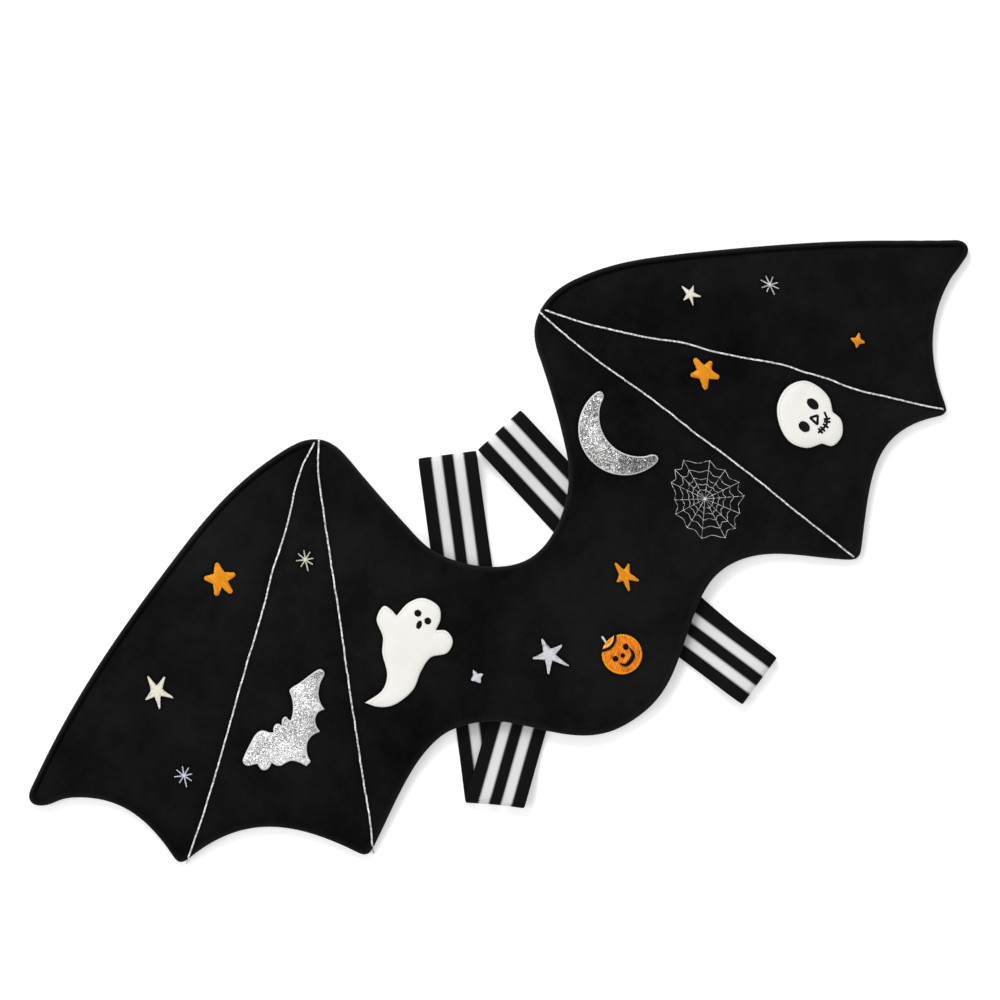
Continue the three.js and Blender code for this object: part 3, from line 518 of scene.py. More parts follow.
def rim_of(node: bpy.types.Object) -> np.ndarray:
    """The outline of a node's underside.

    Args:
        node: The CAD node.

    Returns:
        Its corners, counter-clockwise seen from above.
    """
    mesh = node.data
    key = [tuple(round(c / MM, 3) for c in vertex.co) for vertex in mesh.vertices]
    sides = set()
    for polygon in mesh.polygons:
        if polygon.normal.z < -0.3:
            loop = [key[i] for i in polygon.vertices]
            sides.update(zip(loop, loop[1:] + loop[:1]))
    following = {b: a for a, b in sides if (b, a) not in sides}
    start = min(following)
    ring = [start]
    while following[ring[-1]] != start:
        ring.append(following[ring[-1]])
    return anticlockwise(np.array(ring)[:, :2])


def evenly(path: np.ndarray, step: float) -> np.ndarray:
    """An open path with points about a step apart, both ends kept."""
    lengths = np.concatenate([[0.0], np.cumsum(np.hypot(*np.diff(path[:, :2], axis=0).T))])
    count = max(1, round(lengths[-1] / step))
    wanted = np.linspace(0, lengths[-1], count + 1)
    return np.stack([np.interp(wanted, lengths, column) for column in path.T], axis=1)


def curve_through(points: np.ndarray, closed: bool) -> np.ndarray:
    """A fine smooth line through points.

    Args:
        points: The points, one a row.
        closed: Whether the line comes back to its start.

    Returns:
        The line's points; a closed one ends at its start.
    """
    if len(points) < 3:
        return points
    if closed:
        framed = np.concatenate([points[-1:], points, points[:2]])
    else:
        framed = np.concatenate([2 * points[:1] - points[1:2], points, 2 * points[-1:] - points[-2:-1]])
    line = []
    for a, b, c, d in zip(framed, framed[1:], framed[2:], framed[3:]):
        knots = [0.0]
        for p, q in ((a, b), (b, c), (c, d)):
            knots.append(knots[-1] + max(np.linalg.norm(q - p), 1e-6) ** 0.5)
        t0, t1, t2, t3 = knots
        t = np.linspace(t1, t2, 9)[:-1, None]
        ab = (t1 - t) / (t1 - t0) * a + (t - t0) / (t1 - t0) * b
        bc = (t2 - t) / (t2 - t1) * b + (t - t1) / (t2 - t1) * c
        cd = (t3 - t) / (t3 - t2) * c + (t - t2) / (t3 - t2) * d
        abc = (t2 - t) / (t2 - t0) * ab + (t - t0) / (t2 - t0) * bc
        bcd = (t3 - t) / (t3 - t1) * bc + (t - t1) / (t3 - t1) * cd
        line.append((t2 - t) / (t2 - t1) * abc + (t - t1) / (t2 - t1) * bcd)
    return np.concatenate(line + [framed[-2:-1]])


def sharp_at(points: np.ndarray, sharp: "list[int]", step: float) -> np.ndarray:
    """A finer ring through points, which stays sharp at some of them.

    Args:
        points: The points, counter-clockwise.
        sharp: Places in them of the sharp ones.
        step: Space between the new points.

    Returns:
        The new ring.
    """
    stretches = []
    for first, last in zip(sharp, [*sharp[1:], sharp[0] + len(points)]):
        stretch = points[np.arange(first, last + 1) % len(points)]
        stretches.append(evenly(curve_through(stretch, False), step)[:-1])
    return np.concatenate(stretches)


def smooth_ring(ring: np.ndarray, step: float, corner: float) -> np.ndarray:
    """A finer ring through a ring's corners.

    Args:
        ring: The corners, counter-clockwise.
        step: Space between the new points.
        corner: Turn in degrees above which a corner stays sharp.

    Returns:
        The new ring.
    """
    turn = np.degrees(np.arctan2(*corner_products(ring)))
    sharp = np.flatnonzero(np.abs(turn) > corner).tolist()
    if not sharp:
        return evenly(curve_through(ring, True), step)[:-1]
    return sharp_at(ring, sharp, step)


def shifted(ring: np.ndarray, inset: float) -> np.ndarray:
    """A ring moved inwards by an inset, or outwards by a negative one, where it has room."""
    along = np.roll(ring, -1, axis=0) - np.roll(ring, 1, axis=0)
    along /= np.hypot(along[:, 0], along[:, 1])[:, None]
    moved = ring + inset * left_of(along)
    gap, _ = distances(moved, ring, True)
    return moved[gap > 0.97 * abs(inset)]


def triangular(ring: np.ndarray, step: float) -> np.ndarray:
    """Points of a triangular lattice over a ring's box."""
    low, high = ring.min(0), ring.max(0)
    rows = np.arange(low[1], high[1], step * math.sin(math.pi / 3))
    columns = np.arange(low[0], high[0] + step, step)
    return np.array([(x + (i % 2) * step / 2, y) for i, y in enumerate(rows) for x in columns])


class Scatter:
    """Points that keep their distance from those that came before."""

    def __init__(self, cell: float) -> None:
        """Keeps the size of the cells that points are sorted into."""
        self.cell = cell
        self.cells: "dict[tuple[int, int], list[tuple[float, float]]]" = {}
        self.points: "list[tuple[float, float]]" = []

    def add(self, points: np.ndarray, gap: float) -> None:
        """Takes the points that are at least a gap from all others."""
        reach = math.ceil(gap / self.cell)
        around = [(i, j) for i in range(-reach, reach + 1) for j in range(-reach, reach + 1)]
        for x, y in points:
            i, j = int(x // self.cell), int(y // self.cell)
            near = (p for di, dj in around for p in self.cells.get((i + di, j + dj), ()))
            if all((p[0] - x) ** 2 + (p[1] - y) ** 2 >= gap * gap for p in near):
                self.cells.setdefault((i, j), []).append((x, y))
                self.points.append((float(x), float(y)))


def filled(ring: np.ndarray, inner: np.ndarray) -> "tuple[np.ndarray, list[tuple[int, ...]]]":
    """Triangles over a ring and the points inside it.

    Args:
        ring: The outline, counter-clockwise.
        inner: Points inside it.

    Returns:
        All the points, the ring's first, and the triangles.
    """
    points = np.concatenate([ring, inner]) if len(inner) else ring
    flat = [Vector((float(x), float(y))) for x, y in points]
    made, _, faces, origins, _, _ = delaunay_2d_cdt(flat, [], [list(range(len(ring)))], 1, 1e-6)
    source = [origin[0] if origin else -1 for origin in origins]
    kept = [tuple(source[i] for i in face) for face in faces]
    return points, [face for face in kept if min(face) >= 0]


def placed(name: str, data: bpy.types.ID) -> bpy.types.Object:
    """A new object in the scene."""
    made = bpy.data.objects.new(name, data)
    bpy.context.scene.collection.objects.link(made)
    return made


def band(ring: int, size: int) -> "list[tuple[int, ...]]":
    """Faces between one ring of vertices and the next."""
    here, ahead = ring * size, (ring + 1) * size
    return [(here + i, here + (i + 1) % size, ahead + (i + 1) % size, ahead + i) for i in range(size)]


def piece_from(name: str, points: np.ndarray, faces: "list[tuple[int, ...]]") -> bpy.types.Object:
    """A smooth-shaded mesh object.

    Args:
        name: The piece's name.
        points: Its vertices.
        faces: Its faces.

    Returns:
        The object, at the origin.
    """
    mesh = bpy.data.meshes.new(name)
    mesh.from_pydata((np.asarray(points) * MM).tolist(), [], [tuple(map(int, face)) for face in faces])
    mesh.validate()
    mesh.shade_smooth()
    return placed(name, mesh)


def joined(name: str, parts: "list[bpy.types.Object]") -> bpy.types.Object:
    """Several pieces made one mesh, with the first one's material.

    Args:
        name: The whole's name.
        parts: The pieces, which are removed.

    Returns:
        The whole.
    """
    whole = bmesh.new()
    material = parts[0].data.materials[0]
    for part in parts:
        whole.from_mesh(part.data)
        bpy.data.objects.remove(part)
    for face in whole.faces:
        face.material_index = 0
        face.smooth = True
    mesh = bpy.data.meshes.new(name)
    whole.to_mesh(mesh)
    whole.free()
    mesh.materials.append(material)
    return placed(name, mesh)


def dressed(piece: bpy.types.Object, finish: Finish, *nodes: str) -> bpy.types.Object:
    """Gives a piece its finish and body, and hides the CAD nodes that it stands for.

    Args:
        piece: The piece, in its place.
        finish: Its finish.
        nodes: CAD nodes that it replaces.

    Returns:
        The piece.
    """
    piece.data.materials.clear()
    piece.data.materials.append(finish.material())
    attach(piece, "root")
    if nodes:
        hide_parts(*nodes)
    count = sum(len(polygon.vertices) - 2 for polygon in piece.data.polygons)
    log.info("%s: %d triangles", piece.name, count)
    return piece


def marked(piece: bpy.types.Object, name: str, values: np.ndarray) -> None:
    """Stores a number at each vertex of a piece."""
    layer = piece.data.attributes.new(name, "FLOAT", "POINT")
    layer.data.foreach_set("value", np.asarray(values, np.float32))


class Surface:
    """The body's face, which what lies on it follows."""

    def __init__(self, body: bpy.types.Object) -> None:
        """Keeps the body's faces for measuring."""
        mesh = body.data
        corners = [vertex.co.copy() for vertex in mesh.vertices]
        self.tree = BVHTree.FromPolygons(corners, [tuple(p.vertices) for p in mesh.polygons])

    def height(self, x: float, y: float) -> float:
        """Height of the face at a place."""
        spot = self.tree.ray_cast(Vector((x * MM, y * MM, 1.0)), Vector((0, 0, -1)))[0]
        return spot.z / MM if spot else 0.0

    def laid(self, flat: np.ndarray, rise: "float | np.ndarray") -> np.ndarray:
        """Points of the face under a flat path, raised."""
        heights = np.array([self.height(x, y) for x, y in flat[:, :2]])
        return np.column_stack([flat[:, :2], heights + rise])


class Yarn:
    """Geometry Nodes that turn lines into thread, braid or stitches."""

    def __init__(self) -> None:
        """Builds the trees."""
        self.thread = self.thread_tree()
        self.braid = self.braid_tree()
        self.stitches = self.stitch_tree()

    @staticmethod
    def start(name: str, sizes: "dict[str, tuple[float, float, float]]") -> "tuple[Graph, bpy.types.Node]":
        """A tree with a geometry in and out, a material and named sizes.

        Args:
            name: The tree's name.
            sizes: Each size's usual, least and greatest value.

        Returns:
            The tree's graph and its node of inputs.
        """
        tree = bpy.data.node_groups.new(name, "GeometryNodeTree")
        tree.interface.new_socket("Geometry", in_out="INPUT", socket_type="NodeSocketGeometry")
        tree.interface.new_socket("Material", in_out="INPUT", socket_type="NodeSocketMaterial")
        for key, (usual, least, greatest) in sizes.items():
            socket = tree.interface.new_socket(key, in_out="INPUT", socket_type="NodeSocketFloat")
            socket.default_value, socket.min_value, socket.max_value = usual, least, greatest
        tree.interface.new_socket("Geometry", in_out="OUTPUT", socket_type="NodeSocketGeometry")
        graph = Graph(tree)
        return graph, graph.node("NodeGroupInput")

    @staticmethod
    def end(graph: Graph, source: bpy.types.Node, shape: Value) -> None:
        """Makes a tree's result real, smooth and dressed."""
        real = graph.value("GeometryNodeRealizeInstances", None, {"Geometry": shape})
        smooth = graph.value("GeometryNodeSetShadeSmooth", None, {"Geometry": real})
        dress = {"Geometry": smooth, "Material": source.outputs["Material"]}
        done = graph.value("GeometryNodeSetMaterial", None, dress)
        graph.node("NodeGroupOutput", None, {0: done})

    @staticmethod
    def tube(graph: Graph, line: Value, radius: Value, sides: int) -> Value:
        """A round tube along a line."""
        profile = graph.value(
            "GeometryNodeCurvePrimitiveCircle", {"mode": "RADIUS"}, {"Resolution": sides, "Radius": radius}
        )
        return graph.value("GeometryNodeCurveToMesh", None, {0: line, 1: profile, "Fill Caps": True})

    def thread_tree(self) -> bpy.types.NodeTree:
        """Thread along each line of a mesh of edges."""
        graph, source = self.start("thread", {"Radius": (0.0002, 0.00002, 0.01)})
        line = graph.value("GeometryNodeMeshToCurve", None, {0: source.outputs["Geometry"]})
        self.end(graph, source, self.tube(graph, line, Value(graph, source.outputs["Radius"]), 5))
        return graph.tree

    def braid_tree(self) -> bpy.types.NodeTree:
        """Three strands that cross over each other along a line."""
        sizes = {
            "Radius": (0.0005, 0.00005, 0.01),
            "Half Width": (0.0006, 0.0001, 0.02),
            "Turn": (0.004, 0.0005, 0.1),
        }
        graph, source = self.start("braid", sizes)
        radius, half, turn = (Value(graph, source.outputs[key]) for key in sizes)
        line = graph.value("GeometryNodeMeshToCurve", None, {0: source.outputs["Geometry"]})
        length = graph.value("GeometryNodeSplineParameter", output="Length")
        tangent = graph.value("GeometryNodeInputTangent")
        aside = graph.vector("NORMALIZE", graph.vector("CROSS_PRODUCT", tangent, (0.0, 0.0, 1.0)))
        strands = graph.node("GeometryNodeJoinGeometry")
        for strand in range(3):
            angle = length / turn * (2 * math.pi) + 2 * math.pi * strand / 3
            across = graph.scaled(aside, angle.sine() * half)
            up = graph.value("ShaderNodeCombineXYZ", None, {2: (angle * 2.0).sine() * half * 0.45})
            offset = graph.vector("ADD", across, up)
            moved = graph.value("GeometryNodeSetPosition", None, {0: line, "Offset": offset})
            shape = self.tube(graph, moved, radius, 6)
            graph.tree.links.new(shape.socket, strands.inputs[0])
        self.end(graph, source, Value(graph, strands.outputs[0]))
        return graph.tree

    def stitch_tree(self) -> bpy.types.NodeTree:
        """Short stitches along a line, each a little out of true."""
        sizes = {
            "Pitch": (0.0025, 0.0002, 0.1),
            "Length": (0.0018, 0.0001, 0.1),
            "Radius": (0.0002, 0.00002, 0.01),
            "Slant": (0.0, -3.2, 3.2),
        }
        graph, source = self.start("stitches", sizes)
        pitch, long, radius, slant = (Value(graph, source.outputs[key]) for key in sizes)
        line = graph.value("GeometryNodeMeshToCurve", None, {0: source.outputs["Geometry"]})
        spots = graph.node("GeometryNodeCurveToPoints", {"mode": "LENGTH"}, {0: line, "Length": pitch})
        ball = graph.value(
            "GeometryNodeMeshUVSphere", None, {"Segments": 6, "Rings": 4, "Radius": radius}
        )
        stretch = graph.value("ShaderNodeCombineXYZ", None, {0: long / radius * 0.5, 1: 1.0, 2: 1.0})
        wobble = graph.value(
            "FunctionNodeRandomValue", {"data_type": "FLOAT"}, {"Min": -0.10, "Max": 0.10, "Seed": 7}, "Value"
        )
        tangent = {"Vector": Value(graph, spots.outputs["Tangent"])}
        turned = graph.value("FunctionNodeAlignRotationToVector", {"axis": "X"}, tangent)
        spin = graph.value("ShaderNodeCombineXYZ", None, {2: wobble + slant})
        angle = graph.value("FunctionNodeEulerToRotation", None, {0: spin})
        whole = graph.value("FunctionNodeRotateRotation", {"rotation_space": "LOCAL"}, {0: turned, 1: angle})
        placed = {"Points": spots.outputs[0], "Instance": ball, "Rotation": whole, "Scale": stretch}
        shape = graph.value("GeometryNodeInstanceOnPoints", None, placed)
        self.end(graph, source, shape)
        return graph.tree

    def along(
        self,
        tree: bpy.types.NodeTree,
        name: str,
        lines: "list[np.ndarray]",
        finish: Finish,
        sizes: "dict[str, float]",
        tones: "list[float] | None" = None,
    ) -> bpy.types.Object:
        """Runs a tree along lines.

        Args:
            tree: One of the trees above.
            name: The piece's name.
            lines: Lines of points, each open.
            finish: Finish of the thread.
            sizes: The tree's named sizes, in millimetres or radians.
            tones: A tone for each line.

        Returns:
            A plain mesh object.
        """
        points = np.concatenate(lines) * MM
        edges, first = [], 0
        for line in lines:
            edges += [(first + i, first + i + 1) for i in range(len(line) - 1)]
            first += len(line)
        mesh = bpy.data.meshes.new(name + "_line")
        mesh.from_pydata(points.tolist(), edges, [])
        carrier = bpy.data.objects.new(name + "_line", mesh)
        tones = tones or [0.5] * len(lines)
        marked(carrier, "tone", np.repeat(tones, [len(line) for line in lines]))
        bpy.context.scene.collection.objects.link(carrier)
        worker = carrier.modifiers.new("yarn", "NODES")
        worker.node_group = tree
        for item in tree.interface.items_tree:
            if item.in_out != "INPUT":
                continue
            if item.name == "Material":
                worker[item.identifier] = finish.material()
            elif item.name in sizes:
                worker[item.identifier] = sizes[item.name] * (1.0 if item.name == "Slant" else MM)
        ready = carrier.evaluated_get(bpy.context.evaluated_depsgraph_get())
        made = bpy.data.objects.new(name, bpy.data.meshes.new_from_object(ready))
        bpy.data.objects.remove(carrier)
        made.data.name = name
        bpy.context.scene.collection.objects.link(made)
        return made


@dataclass
class ArmLoop:
    """A loop of striped elastic, sewn under the body at both ends and folded at neck and waist."""

    name: str
    neck_end: "tuple[float, float]"
    neck_fold: "tuple[float, float]"
    waist_fold: "tuple[float, float]"
    waist_end: "tuple[float, float]"
    neck_turn: float = 0.0
    waist_turn: float = 0.0
    width: float = 40.0
    thickness: float = 1.4
    loop_height: float = 10.0
    anchor: float = 28.0
    flat: float = 12.0
    upper: float = 2.4
    stack: float = 3.4
    step: float = 3.0
    pull: float = 0.012

    @property
    def fold_radius(self) -> float:
        """Radius of the middle of the elastic at a fold."""
        return (self.loop_height - self.thickness) / 2

    def ray(self, end: "tuple[float, float]", fold: "tuple[float, float]", turn: float) -> np.ndarray:
        """Direction from a fold back towards the body, turned by some degrees."""
        angle = math.atan2(end[1] - fold[1], end[0] - fold[0]) + math.radians(turn)
        return np.array([math.cos(angle), math.sin(angle)])

    def free_line(self, count: int) -> np.ndarray:
        """Points of the lower layer, from the neck's fold to the waist's."""
        neck, waist = np.array(self.neck_fold), np.array(self.waist_fold)
        neck_ray = self.ray(self.neck_end, self.neck_fold, self.neck_turn)
        waist_ray = self.ray(self.waist_end, self.waist_fold, self.waist_turn)
        handle = np.linalg.norm(waist - neck) / 3
        corners = [
            neck + neck_ray * self.fold_radius,
            neck + neck_ray * (self.fold_radius + handle),
            waist + waist_ray * (self.fold_radius + handle),
            waist + waist_ray * self.fold_radius,
        ]
        t = np.linspace(0, 1, count + 1)[:, None]
        weights = ((1 - t) ** 3, 3 * t * (1 - t) ** 2, 3 * t * t * (1 - t), t ** 3)
        return sum(weight * corner for weight, corner in zip(weights, corners))

    def pressed(self) -> "list[tuple[np.ndarray, float]]":
        """Lines under the body, with the height that they lift it by."""
        return [
            (np.array([self.neck_end, self.neck_fold]), self.stack),
            (np.array([self.waist_end, self.waist_fold]), self.stack),
            (self.free_line(10), self.stack / 2),
        ]

    def end_stations(
        self, end: "tuple[float, float]", fold: "tuple[float, float]", turn: float
    ) -> "list[np.ndarray]":
        """Middle of the elastic from its sewn end to where it lies on the floor.

        Args:
            end: Where it is sewn.
            fold: Where it folds back.
            turn: Degrees by which the lower layer leaves the upper one.

        Returns:
            Rows of x, y, z and the direction from the fold.
        """
        length = math.dist(end, fold)
        inward = self.ray(end, fold, 0.0)
        heading = math.atan2(inward[1], inward[0])
        opening = length - self.anchor - self.flat - self.fold_radius
        rows = []
        sewn = max(2, round((length - self.fold_radius - opening) / self.step))
        for i in range(sewn):
            away = length + (self.fold_radius + opening - length) * i / sewn
            rows.append((away, heading, self.upper))
        climb = self.loop_height - self.thickness / 2 - self.upper
        steps = max(9, round(opening / self.step))
        for i in range(steps + 1):
            rise = climb * (0.5 - 0.5 * math.cos(math.pi * i / steps))
            rows.append((self.fold_radius + opening * (1 - i / steps), heading, self.upper + rise))
        turns = 14
        for i in range(1, turns + 1):
            angle = math.pi / 2 - math.pi * i / turns
            away = self.fold_radius * (1 - math.cos(angle))
            z = self.loop_height / 2 + self.fold_radius * math.sin(angle)
            rows.append((away, heading + math.radians(turn) * i / turns, z))
        stations = []
        for away, angle, z in rows:
            direction = np.array([math.cos(angle), math.sin(angle)])
            stations.append(np.array([*(np.array(fold) + direction * away), z, *direction]))
        return stations

    def stations(self) -> np.ndarray:
        """The whole loop's middle line, with a direction at each point."""
        neck = self.end_stations(self.neck_end, self.neck_fold, self.neck_turn)
        waist = self.end_stations(self.waist_end, self.waist_fold, self.waist_turn)[::-1]
        count = round(math.dist(self.neck_fold, self.waist_fold) / self.step)
        line = self.free_line(count)
        free = [np.array([*p, self.thickness / 2, *t]) for p, t in zip(line[1:-1], headings(line)[1:-1])]
        back = [row * np.array([1, 1, 1, -1, -1]) for row in waist]
        return np.array(neck + free + back)

    def section(self) -> np.ndarray:
        """Shares across and up of the elastic's cut, counter-clockwise."""
        spread = [1.0, 0.992, 0.965, 0.9, 0.75, 0.5, 0.25, 0.0]
        across = np.array(spread + [-a for a in spread[-2::-1]])
        up = np.array([0.25, 0.62, 0.9] + [1.0] * 9 + [0.9, 0.62, 0.25])
        return np.array(list(zip(across, up)) + list(zip(across[::-1], -up[::-1])))

    def build(self) -> bpy.types.Object:
        """Makes the elastic.

        Returns:
            The piece.
        """
        rows = self.stations()
        section = self.section()
        steps = np.linalg.norm(np.diff(rows[:, :3], axis=0), axis=1)
        along = np.concatenate([[0.0], np.cumsum(steps)])
        points, faces, half = [], [], self.thickness / 2
        folds = np.array([self.neck_fold, self.waist_fold])
        for i, (x, y, z, rx, ry) in enumerate(rows):
            from_fold = np.hypot(*(folds - (x, y)).T).min()
            drawn_in = 1 - self.pull * math.exp(-((from_fold / 2.2) ** 2))
            before, after = rows[max(i - 1, 0)], rows[min(i + 1, len(rows) - 1)]
            forward = -((after[0] - before[0]) * rx + (after[1] - before[1]) * ry)
            slope = np.array([forward, after[2] - before[2]])
            slope /= np.hypot(*slope)
            for across, up in section:
                aside, lift = across * drawn_in * self.width / 2, up * half
                shift = -lift * slope[1]
                points.append((x - rx * shift - ry * aside, y - ry * shift + rx * aside, z + lift * slope[0]))
        size = len(section)
        for i in range(len(rows) - 1):
            faces += band(i, size)
        last = (len(rows) - 1) * size
        faces.append(tuple(range(size))[::-1])
        faces.append(tuple(range(last, last + size)))
        piece = piece_from("arm_loop_" + self.name.split("_")[1], np.array(points), faces)
        layer = piece.data.uv_layers.new(name="weave")
        for polygon in piece.data.polygons:
            for corner, vertex in zip(polygon.loop_indices, polygon.vertices):
                share = (section[vertex % size][0] + 1) / 2
                layer.data[corner].uv = (share, along[vertex // size] / self.width)
        shape = bmesh.new()
        shape.from_mesh(piece.data)
        bmesh.ops.recalc_face_normals(shape, faces=shape.faces)
        shape.to_mesh(piece.data)
        shape.free()
        dressed(piece, ELASTIC, self.name)
        self.width * MM
        return piece


@dataclass
class Rib:
    """Braid laid over one bone of a wing, from its peak to a point."""

    name: str
    first: "tuple[float, float]"
    last: "tuple[float, float]"
    side: int
    bow: float
    sway: float
    strays: "list[tuple[float, float]]"
    strand: float = 0.29
    half_width: float = 0.38
    turn: float = 5.4
    overhang: float = 2.8

    def path(self, step: float) -> np.ndarray:
        """The braid's line, seen from above."""
        first, last = np.array(self.first), np.array(self.last)
        length = np.linalg.norm(last - first)
        along = (last - first) / length
        across = self.side * np.array([-along[1], along[0]])
        share = np.linspace(0, 1, round(length / step) + 1)[:, None]
        bend = length * (self.bow * np.sin(math.pi * share) + self.sway * np.sin(2 * math.pi * share))
        kinks = curve_through(np.array(self.strays) * (length, 1.0), False)
        stray = np.interp(share[:, 0] * length, kinks[:, 0], kinks[:, 1])[:, None]
        return first + along * length * share + across * (bend + stray)

    def build(self, surface: Surface, yarn: Yarn) -> bpy.types.Object:
        """Makes the braid.

        Args:
            surface: The face that it lies on.
            yarn: The trees of thread.

        Returns:
            The piece.
        """
        flat = self.path(0.6)
        start, stop = flat[0] - flat[1], flat[-1] - flat[-2]
        reach = self.overhang / np.hypot(*start) * np.linspace(1, 0.3, 3)[:, None]
        flat = np.concatenate([flat[0] + start * reach, flat, flat[-1] + stop * reach[::-1]])
        for spread, level, stray in ((9, 4.0, 0.35), (2.6, 8.0, 0.22)):
            flat[:, 0] += clouds(flat, spread, level) * stray
        line = surface.laid(flat, self.strand + 0.3)
        line[:, 2] = np.convolve(np.pad(line[:, 2], 3, mode="edge"), np.ones(7) / 7, mode="valid")
        sizes = {"Radius": self.strand, "Half Width": self.half_width, "Turn": self.turn}
        piece = yarn.along(yarn.braid, "braid_" + self.name[4:], [line], BRAID, sizes)
        return dressed(piece, BRAID, self.name)


@dataclass
class PaddedBody:
    """Two layers of velour over wadding, sewn together round the edge and through a channel."""

    loops: "list[ArmLoop]"
    ribs: "list[Rib]"
    marks: "list[np.ndarray]"
    full_tips: "list[tuple[np.ndarray, float]]"
    front_padding: float = 4.4
    back_padding: float = 3.8
    swell: float = 1.8
    swell_reach: float = 22.0
    rim: float = 6.5
    roll: float = 2.7
    channel: float = 4.5
    channel_width: float = 1.0
    channel_depth: float = 2.1
    valley: float = 1.3
    valley_width: float = 6.5
    margin: float = 16.0
    reach: float = 45.0
    step: float = 4.4
    edge_step: float = 2.4
    faint: float = 0.22
    tip_passes: int = 3
    mark_reach: float = 70.0
    cloth_frames: int = 20
    back_step: float = 7.0
    back_rings: "tuple[float, ...]" = (0.35, 1.3, 2.8, 5.0, 9.0)
    wrinkle: "tuple[tuple[float, float], ...]" = ((322.0, 58.0), (319.0, 36.0), (317.0, 18.0))
    rings: "tuple[float, ...]" = (0.35, 1.1, 2.0, 2.9, 3.7, 4.5, 5.3, 6.3, 8.0, 10.5)
    outline: np.ndarray = field(default_factory=lambda: np.zeros((0, 2)))

    def beside_ribs(self, points: np.ndarray, step: float = 6.0) -> np.ndarray:
        """How far points lie from the nearest rib."""
        return np.min([distances(points, rib.path(step), False)[0] for rib in self.ribs], axis=0)

    def lift(self, points: np.ndarray) -> np.ndarray:
        """How far the elastic under the body lifts it."""
        height = np.zeros(len(points))
        for loop in self.loops:
            for path, stack in loop.pressed():
                beside = distances(points, path, False)[0] - loop.width / 2 - self.margin
                share = np.clip(1 - beside / self.reach, 0, 1)
                height = np.maximum(height, stack * share * share * (3 - 2 * share))
        return height

    def filled_tips(self, ring: np.ndarray) -> np.ndarray:
        """The outline with its tips filled out to the rounds given for them.

        Args:
            ring: The outline.

        Returns:
            The new outline, smoothed where it was filled.
        """
        near = np.zeros(len(ring))
        for middle, radius in self.full_tips:
            away = ring - middle
            reach = np.hypot(*away.T)
            ring = middle + away * np.maximum(1.0, radius / reach)[:, None]
            near = np.maximum(near, np.clip((radius + 8.0 - reach) / 6.0, 0, 1))
        for _ in range(self.tip_passes):
            between = (np.roll(ring, 1, axis=0) + np.roll(ring, -1, axis=0)) / 2
            ring = ring + 0.5 * near[:, None] * (between - ring)
        return evenly(looped(ring), self.edge_step)[:-1]

    def channel_share(self, places: np.ndarray) -> np.ndarray:
        """Depth of the channel round the edge: full between each peak and its tip."""
        sides = np.roll(self.outline, -1, axis=0) - self.outline
        length = np.concatenate([[0.0], np.cumsum(np.hypot(*sides.T))])
        whole = length[-1]
        share = np.full(len(places), self.faint)
        for rib in self.ribs:
            if "outer" not in rib.name:
                continue
            peak = distances(np.array([rib.first]), self.outline, True)[1][0]
            tip = length[(self.outline[:, 0] * rib.side).argmax()]
            span = (tip - peak + whole / 2) % whole - whole / 2
            off_middle = np.abs((places - peak - span / 2 + whole / 2) % whole - whole / 2)
            within = abs(span) / 2 - off_middle
            share = np.maximum(share, self.faint + (1 - self.faint) * np.clip(within / 25 + 0.5, 0, 1))
        return share

    def front_height(self, points: np.ndarray) -> np.ndarray:
        """Height of the front over points."""
        edge, place = distances(points, self.outline, True)
        beside = self.beside_ribs(points)
        rolled = np.sqrt(1 - (1 - np.clip(edge / self.roll, 0, 1)) ** 2)
        depth = self.channel_depth * self.channel_share(place)
        groove = depth * np.exp(-((edge - self.channel) / self.channel_width) ** 2)
        valley = self.valley * np.exp(-((beside / self.valley_width) ** 2)) * rolled
        crease = 0.45 * np.exp(-((beside / 1.7) ** 2)) * rolled
        inward = np.maximum(np.minimum(edge - self.rim, beside), 0)
        swell = self.swell * (1 - np.exp(-inward / self.swell_reach))
        height = self.front_padding * rolled - groove - valley - crease + swell
        height += self.rumple(points, edge, place, beside)
        for mark in self.marks:
            near = np.abs(points - mark.mean(0)).max(1) < self.mark_reach
            gap, _ = distances(points[near], mark, True)
            height[near] -= 0.5 * np.exp(-((gap / 1.4) ** 2))
        return self.back_padding + self.lift(points) + height

    def rumple(
        self, points: np.ndarray, edge: np.ndarray, place: np.ndarray, beside: np.ndarray
    ) -> np.ndarray:
        """Soft unevenness of stuffed cloth, with puckers along its seams.

        Args:
            points: Where it is wanted.
            edge: How far each point lies from the edge.
            place: Length along the edge of the nearest place to each.
            beside: How far each lies from the nearest rib.

        Returns:
            The heights to add.
        """
        wide, fine = clouds(points, 38, 1.5), clouds(points, 13, 7.5)
        pucker = np.array([noise.noise(Vector((p / 7.0, 0.3, 2.0))) for p in place])
        inner = np.clip((edge - 4) / 12, 0, 1)
        seam = np.exp(-(((edge - self.channel) / 4.5) ** 2))
        rib = np.exp(-((beside / 7) ** 2)) * inner
        gathered = clouds(points, 6, 9.0)
        fold, _ = distances(points, np.array(self.wrinkle), False)
        crease = 0.7 * np.exp(-((fold / 3.0) ** 2))
        return inner * (0.5 * wide + 0.28 * fine) + 0.34 * seam * pucker + 0.25 * rib * gathered - crease

    def back_height(self, points: np.ndarray) -> np.ndarray:
        """Height of the back over points."""
        edge, _ = distances(points, self.outline, True)
        rolled = np.sqrt(1 - (1 - np.clip(edge / (self.roll * 1.2), 0, 1)) ** 2)
        wide = 0.25 + 0.25 * clouds(points, 30, 11.5)
        return self.lift(points) + self.back_padding * (1 - rolled) + wide * rolled * 0.4

